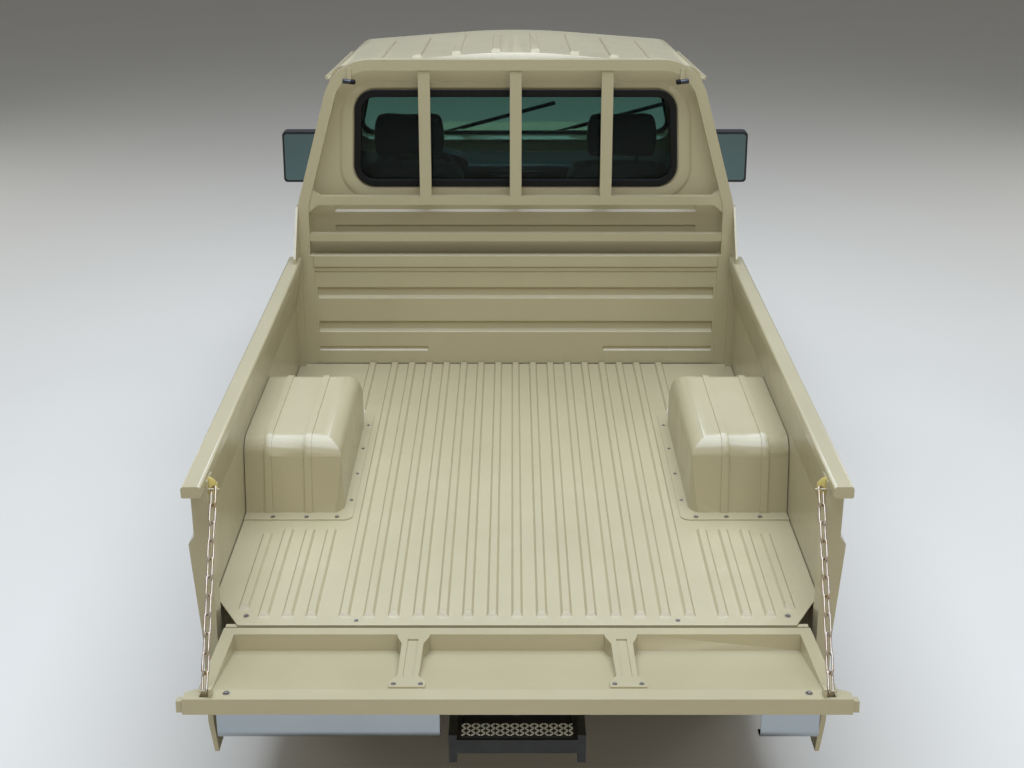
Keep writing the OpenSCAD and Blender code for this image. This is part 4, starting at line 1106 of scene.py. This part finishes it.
bm = bmesh.new()
stack(bm, 100, 4410, ENGINE_TOP, COVER_LAYERS)
for i in range(7):
    stack(bm, 46 + 18 * i, 4380, ENGINE_TOP, ((4, 250, 3, 64, 69),))
lathe(bm, OIL_CAP, facing(at(100, 4680, ENGINE_TOP), UP), 28)
piece("rocker_cover", bm, "truck", STEEL, 30)

# Air cleaner and its inlet pipe
CLEANER = [
    (0, 0), (44, 0), (44, 36), (100, 42), (116, 50), (120, 60), (120, 100), (116, 108),
    (104, 113), (60, 113), (54, 109), (18, 109), (18, 116), (8, 120), (0, 120),
]
INLET_Z, INLET_R = 1118, 27
INLET = [(-244, 4400), (-290, 4420), (-322, 4480), (-334, 4560), (-336, 4660), (-336, 4780)]

bm = bmesh.new()
lathe(bm, CLEANER, facing(at(-130, 4400, ENGINE_TOP), UP), 48)
hose(bm, [(x, s, INLET_Z) for x, s in INLET], INLET_R, 20)
piece("air_cleaner", bm, "truck", FRAME_BLACK)

# Battery in its tray, with cell caps and a strap
BATTERY_X, BATTERY_S = 520, 4490
BATTERY = ((92, 132, 10, 0, 10), (82, 122, 8, 10, 112), (86, 126, 10, 112, 130))
CELL_CAP = [(13, 130), (13, 134), (9, 136), (0, 136)]
STRAP = [  # x and z
    (436, WING_SHELF + 4), (432, 1160), (446, 1186), (594, 1186), (608, 1160), (604, WING_SHELF + 4)
]

bm = bmesh.new()
stack(bm, BATTERY_X, BATTERY_S, WING_SHELF, BATTERY)
for i in range(6):
    cell = at(BATTERY_X, BATTERY_S - 95 + 38 * i, WING_SHELF)
    lathe(bm, CELL_CAP, facing(cell, UP), 18)
hose(bm, [(x, BATTERY_S, z) for x, z in STRAP], 4, 10)
piece("battery", bm, "truck", PLASTIC, 30)

# Battery posts and clamps, radiator cap and belt pulleys
POST_X, POST_S = 468, (4410, 4570)
POST, CLAMP = [(8, 128), (7, 143), (0, 143)], [(12, 131), (12, 139), (8, 140)]
RADIATOR_CAP = [(28, 0), (28, 6), (34, 8), (34, 18), (26, 22), (0, 22)]
ENGINE_FRONT_S = 4839.5
PULLEYS = ((0, 760, 82), (-140, 890, 52), (130, 940, 44))  # x, z and radius

bm = bmesh.new()
for s in POST_S:
    foot = facing(at(POST_X, s, WING_SHELF), UP)
    lathe(bm, POST, foot, 16)
    lathe(bm, CLAMP, foot, 16)
lathe(bm, RADIATOR_CAP, facing(at(-180, 4980, 1089), UP), 30)
for x, z, r in PULLEYS:
    rim = [(0, 0), (r, 0), (r, 6), (r - 9, 12), (r, 18), (r, 24), (r * 0.5, 28), (0, 28)]
    lathe(bm, rim, facing(at(x, ENGINE_FRONT_S, z), FRONT), 32)
piece("engine_fittings", bm, "truck", STEEL)

# Water hose, battery leads and plug leads
WATER_HOSE = [
    (100, 4700, 1050), (104, 4770, 1078), (112, 4850, 1084), (120, 4920, 1072), (122, 4962, 1058)
]
STARTER_LEAD = [
    (468, 4410, 1190), (430, 4400, 1196), (340, 4380, 1150), (250, 4370, 1060), (222, 4368, 1030)
]
EARTH_LEAD = [(468, 4570, 1190), (430, 4580, 1192), (404, 4610, 1120), (400.5, 4620, 1052)]

bm = bmesh.new()
hose(bm, WATER_HOSE, 21, 18)
for lead in (STARTER_LEAD, EARTH_LEAD):
    hose(bm, lead, 6, 10)
for s in range(4200, 4591, 130):
    hose(bm, [(20, s, 1046), (4, s, 1075), (30, s + 10, 1112), (96, s + 16, 1112)], 4.5, 8)
piece("hoses_and_leads", bm, "truck", RUBBER)

bm = bmesh.new()
stack(bm, -530, 4500, WING_SHELF, ((62, 92, 22, 0, 96), (54, 84, 26, 96, 106)))
lathe(bm, [(22, 106), (22, 122), (0, 124)], facing(at(-530, 4540, WING_SHELF), UP), 24)
piece("washer_bottle", bm, "truck", BOTTLE, 30)

BOOSTER = [
    (0, 0), (86, 0), (96, 10), (98, 24), (90, 40), (92, 46), (70, 64), (30, 74), (22, 76),
    (22, 150), (0, 150),
]
bm = bmesh.new()
lathe(bm, BOOSTER, facing(at(-470, 3896, 1090), FRONT), 40)
piece("brake_booster", bm, "truck", FRAME_BLACK)


# Stage, light and camera, in metres and watts

FLOOR_HALF_M = 60
WORLD_COLOUR, WORLD_STRENGTH = (0.86, 0.88, 0.9, 1), 0.24
COOL, WARM, NEUTRAL = (0.71, 0.81, 1.0), (1.0, 0.91, 0.73), (1.0, 1.0, 1.0)
EYE_M, EYE_DOWN = (-0.014, -6.34233, 2.892), 19.95  # place, and degrees it looks below level

floor_mesh = bpy.data.meshes.new("studio_floor")
bm = bmesh.new()
bmesh.ops.create_grid(bm, x_segments=1, y_segments=1, size=FLOOR_HALF_M)
bm.to_mesh(floor_mesh)
bm.free()
floor = bpy.data.objects.new("studio_floor", floor_mesh)
scene.collection.objects.link(floor)
pale = Shader("pale_floor")
pale.colour(pale.mix(pale.noise(0.6, detail=3), linear(208, 203, 191), linear(214, 209, 197)))
pale.set(Roughness=0.7)
assign(floor, pale.mat)

world = bpy.data.worlds.new("studio")
scene.world = world
world.use_nodes = True
background = world.node_tree.nodes["Background"]
background.inputs["Color"].default_value = WORLD_COLOUR
background.inputs["Strength"].default_value = WORLD_STRENGTH


def softbox(name, place, aim, size, power, colour):
    lamp = bpy.data.lights.new(name, "AREA")
    lamp.color = colour
    lamp.shape = "RECTANGLE"
    lamp.size, lamp.size_y = size
    lamp.energy = power
    obj = bpy.data.objects.new(name, lamp)
    obj.location = place
    obj.rotation_euler = (Vector(aim) - Vector(place)).to_track_quat("-Z", "Y").to_euler()
    scene.collection.objects.link(obj)


softbox("overhead", (0, -1.1, 5.8), (0, -1.1, 0), (5.0, 10.0), 745, COOL)
softbox("rear_fill", (0.8, -8.5, 2.9), (0, -1.2, 0.9), (5.0, 2.2), 85, WARM)
for name, side in SIDES.items():
    place = (side * 7.0, 5.0, 3.2)
    softbox(name + "_front_fill", place, (0, 1.2, 0.9), (3.5, 2.6), 100, NEUTRAL)

camera = bpy.data.cameras.new("photo_view")
camera.lens = 58.0
camera.sensor_width = 36.0
eye = bpy.data.objects.new("photo_view", camera)
eye.location = EYE_M
eye.rotation_euler = (math.radians(90 - EYE_DOWN), 0, 0)
scene.collection.objects.link(eye)
scene.camera = eye
scene.view_settings.view_transform = "Standard"
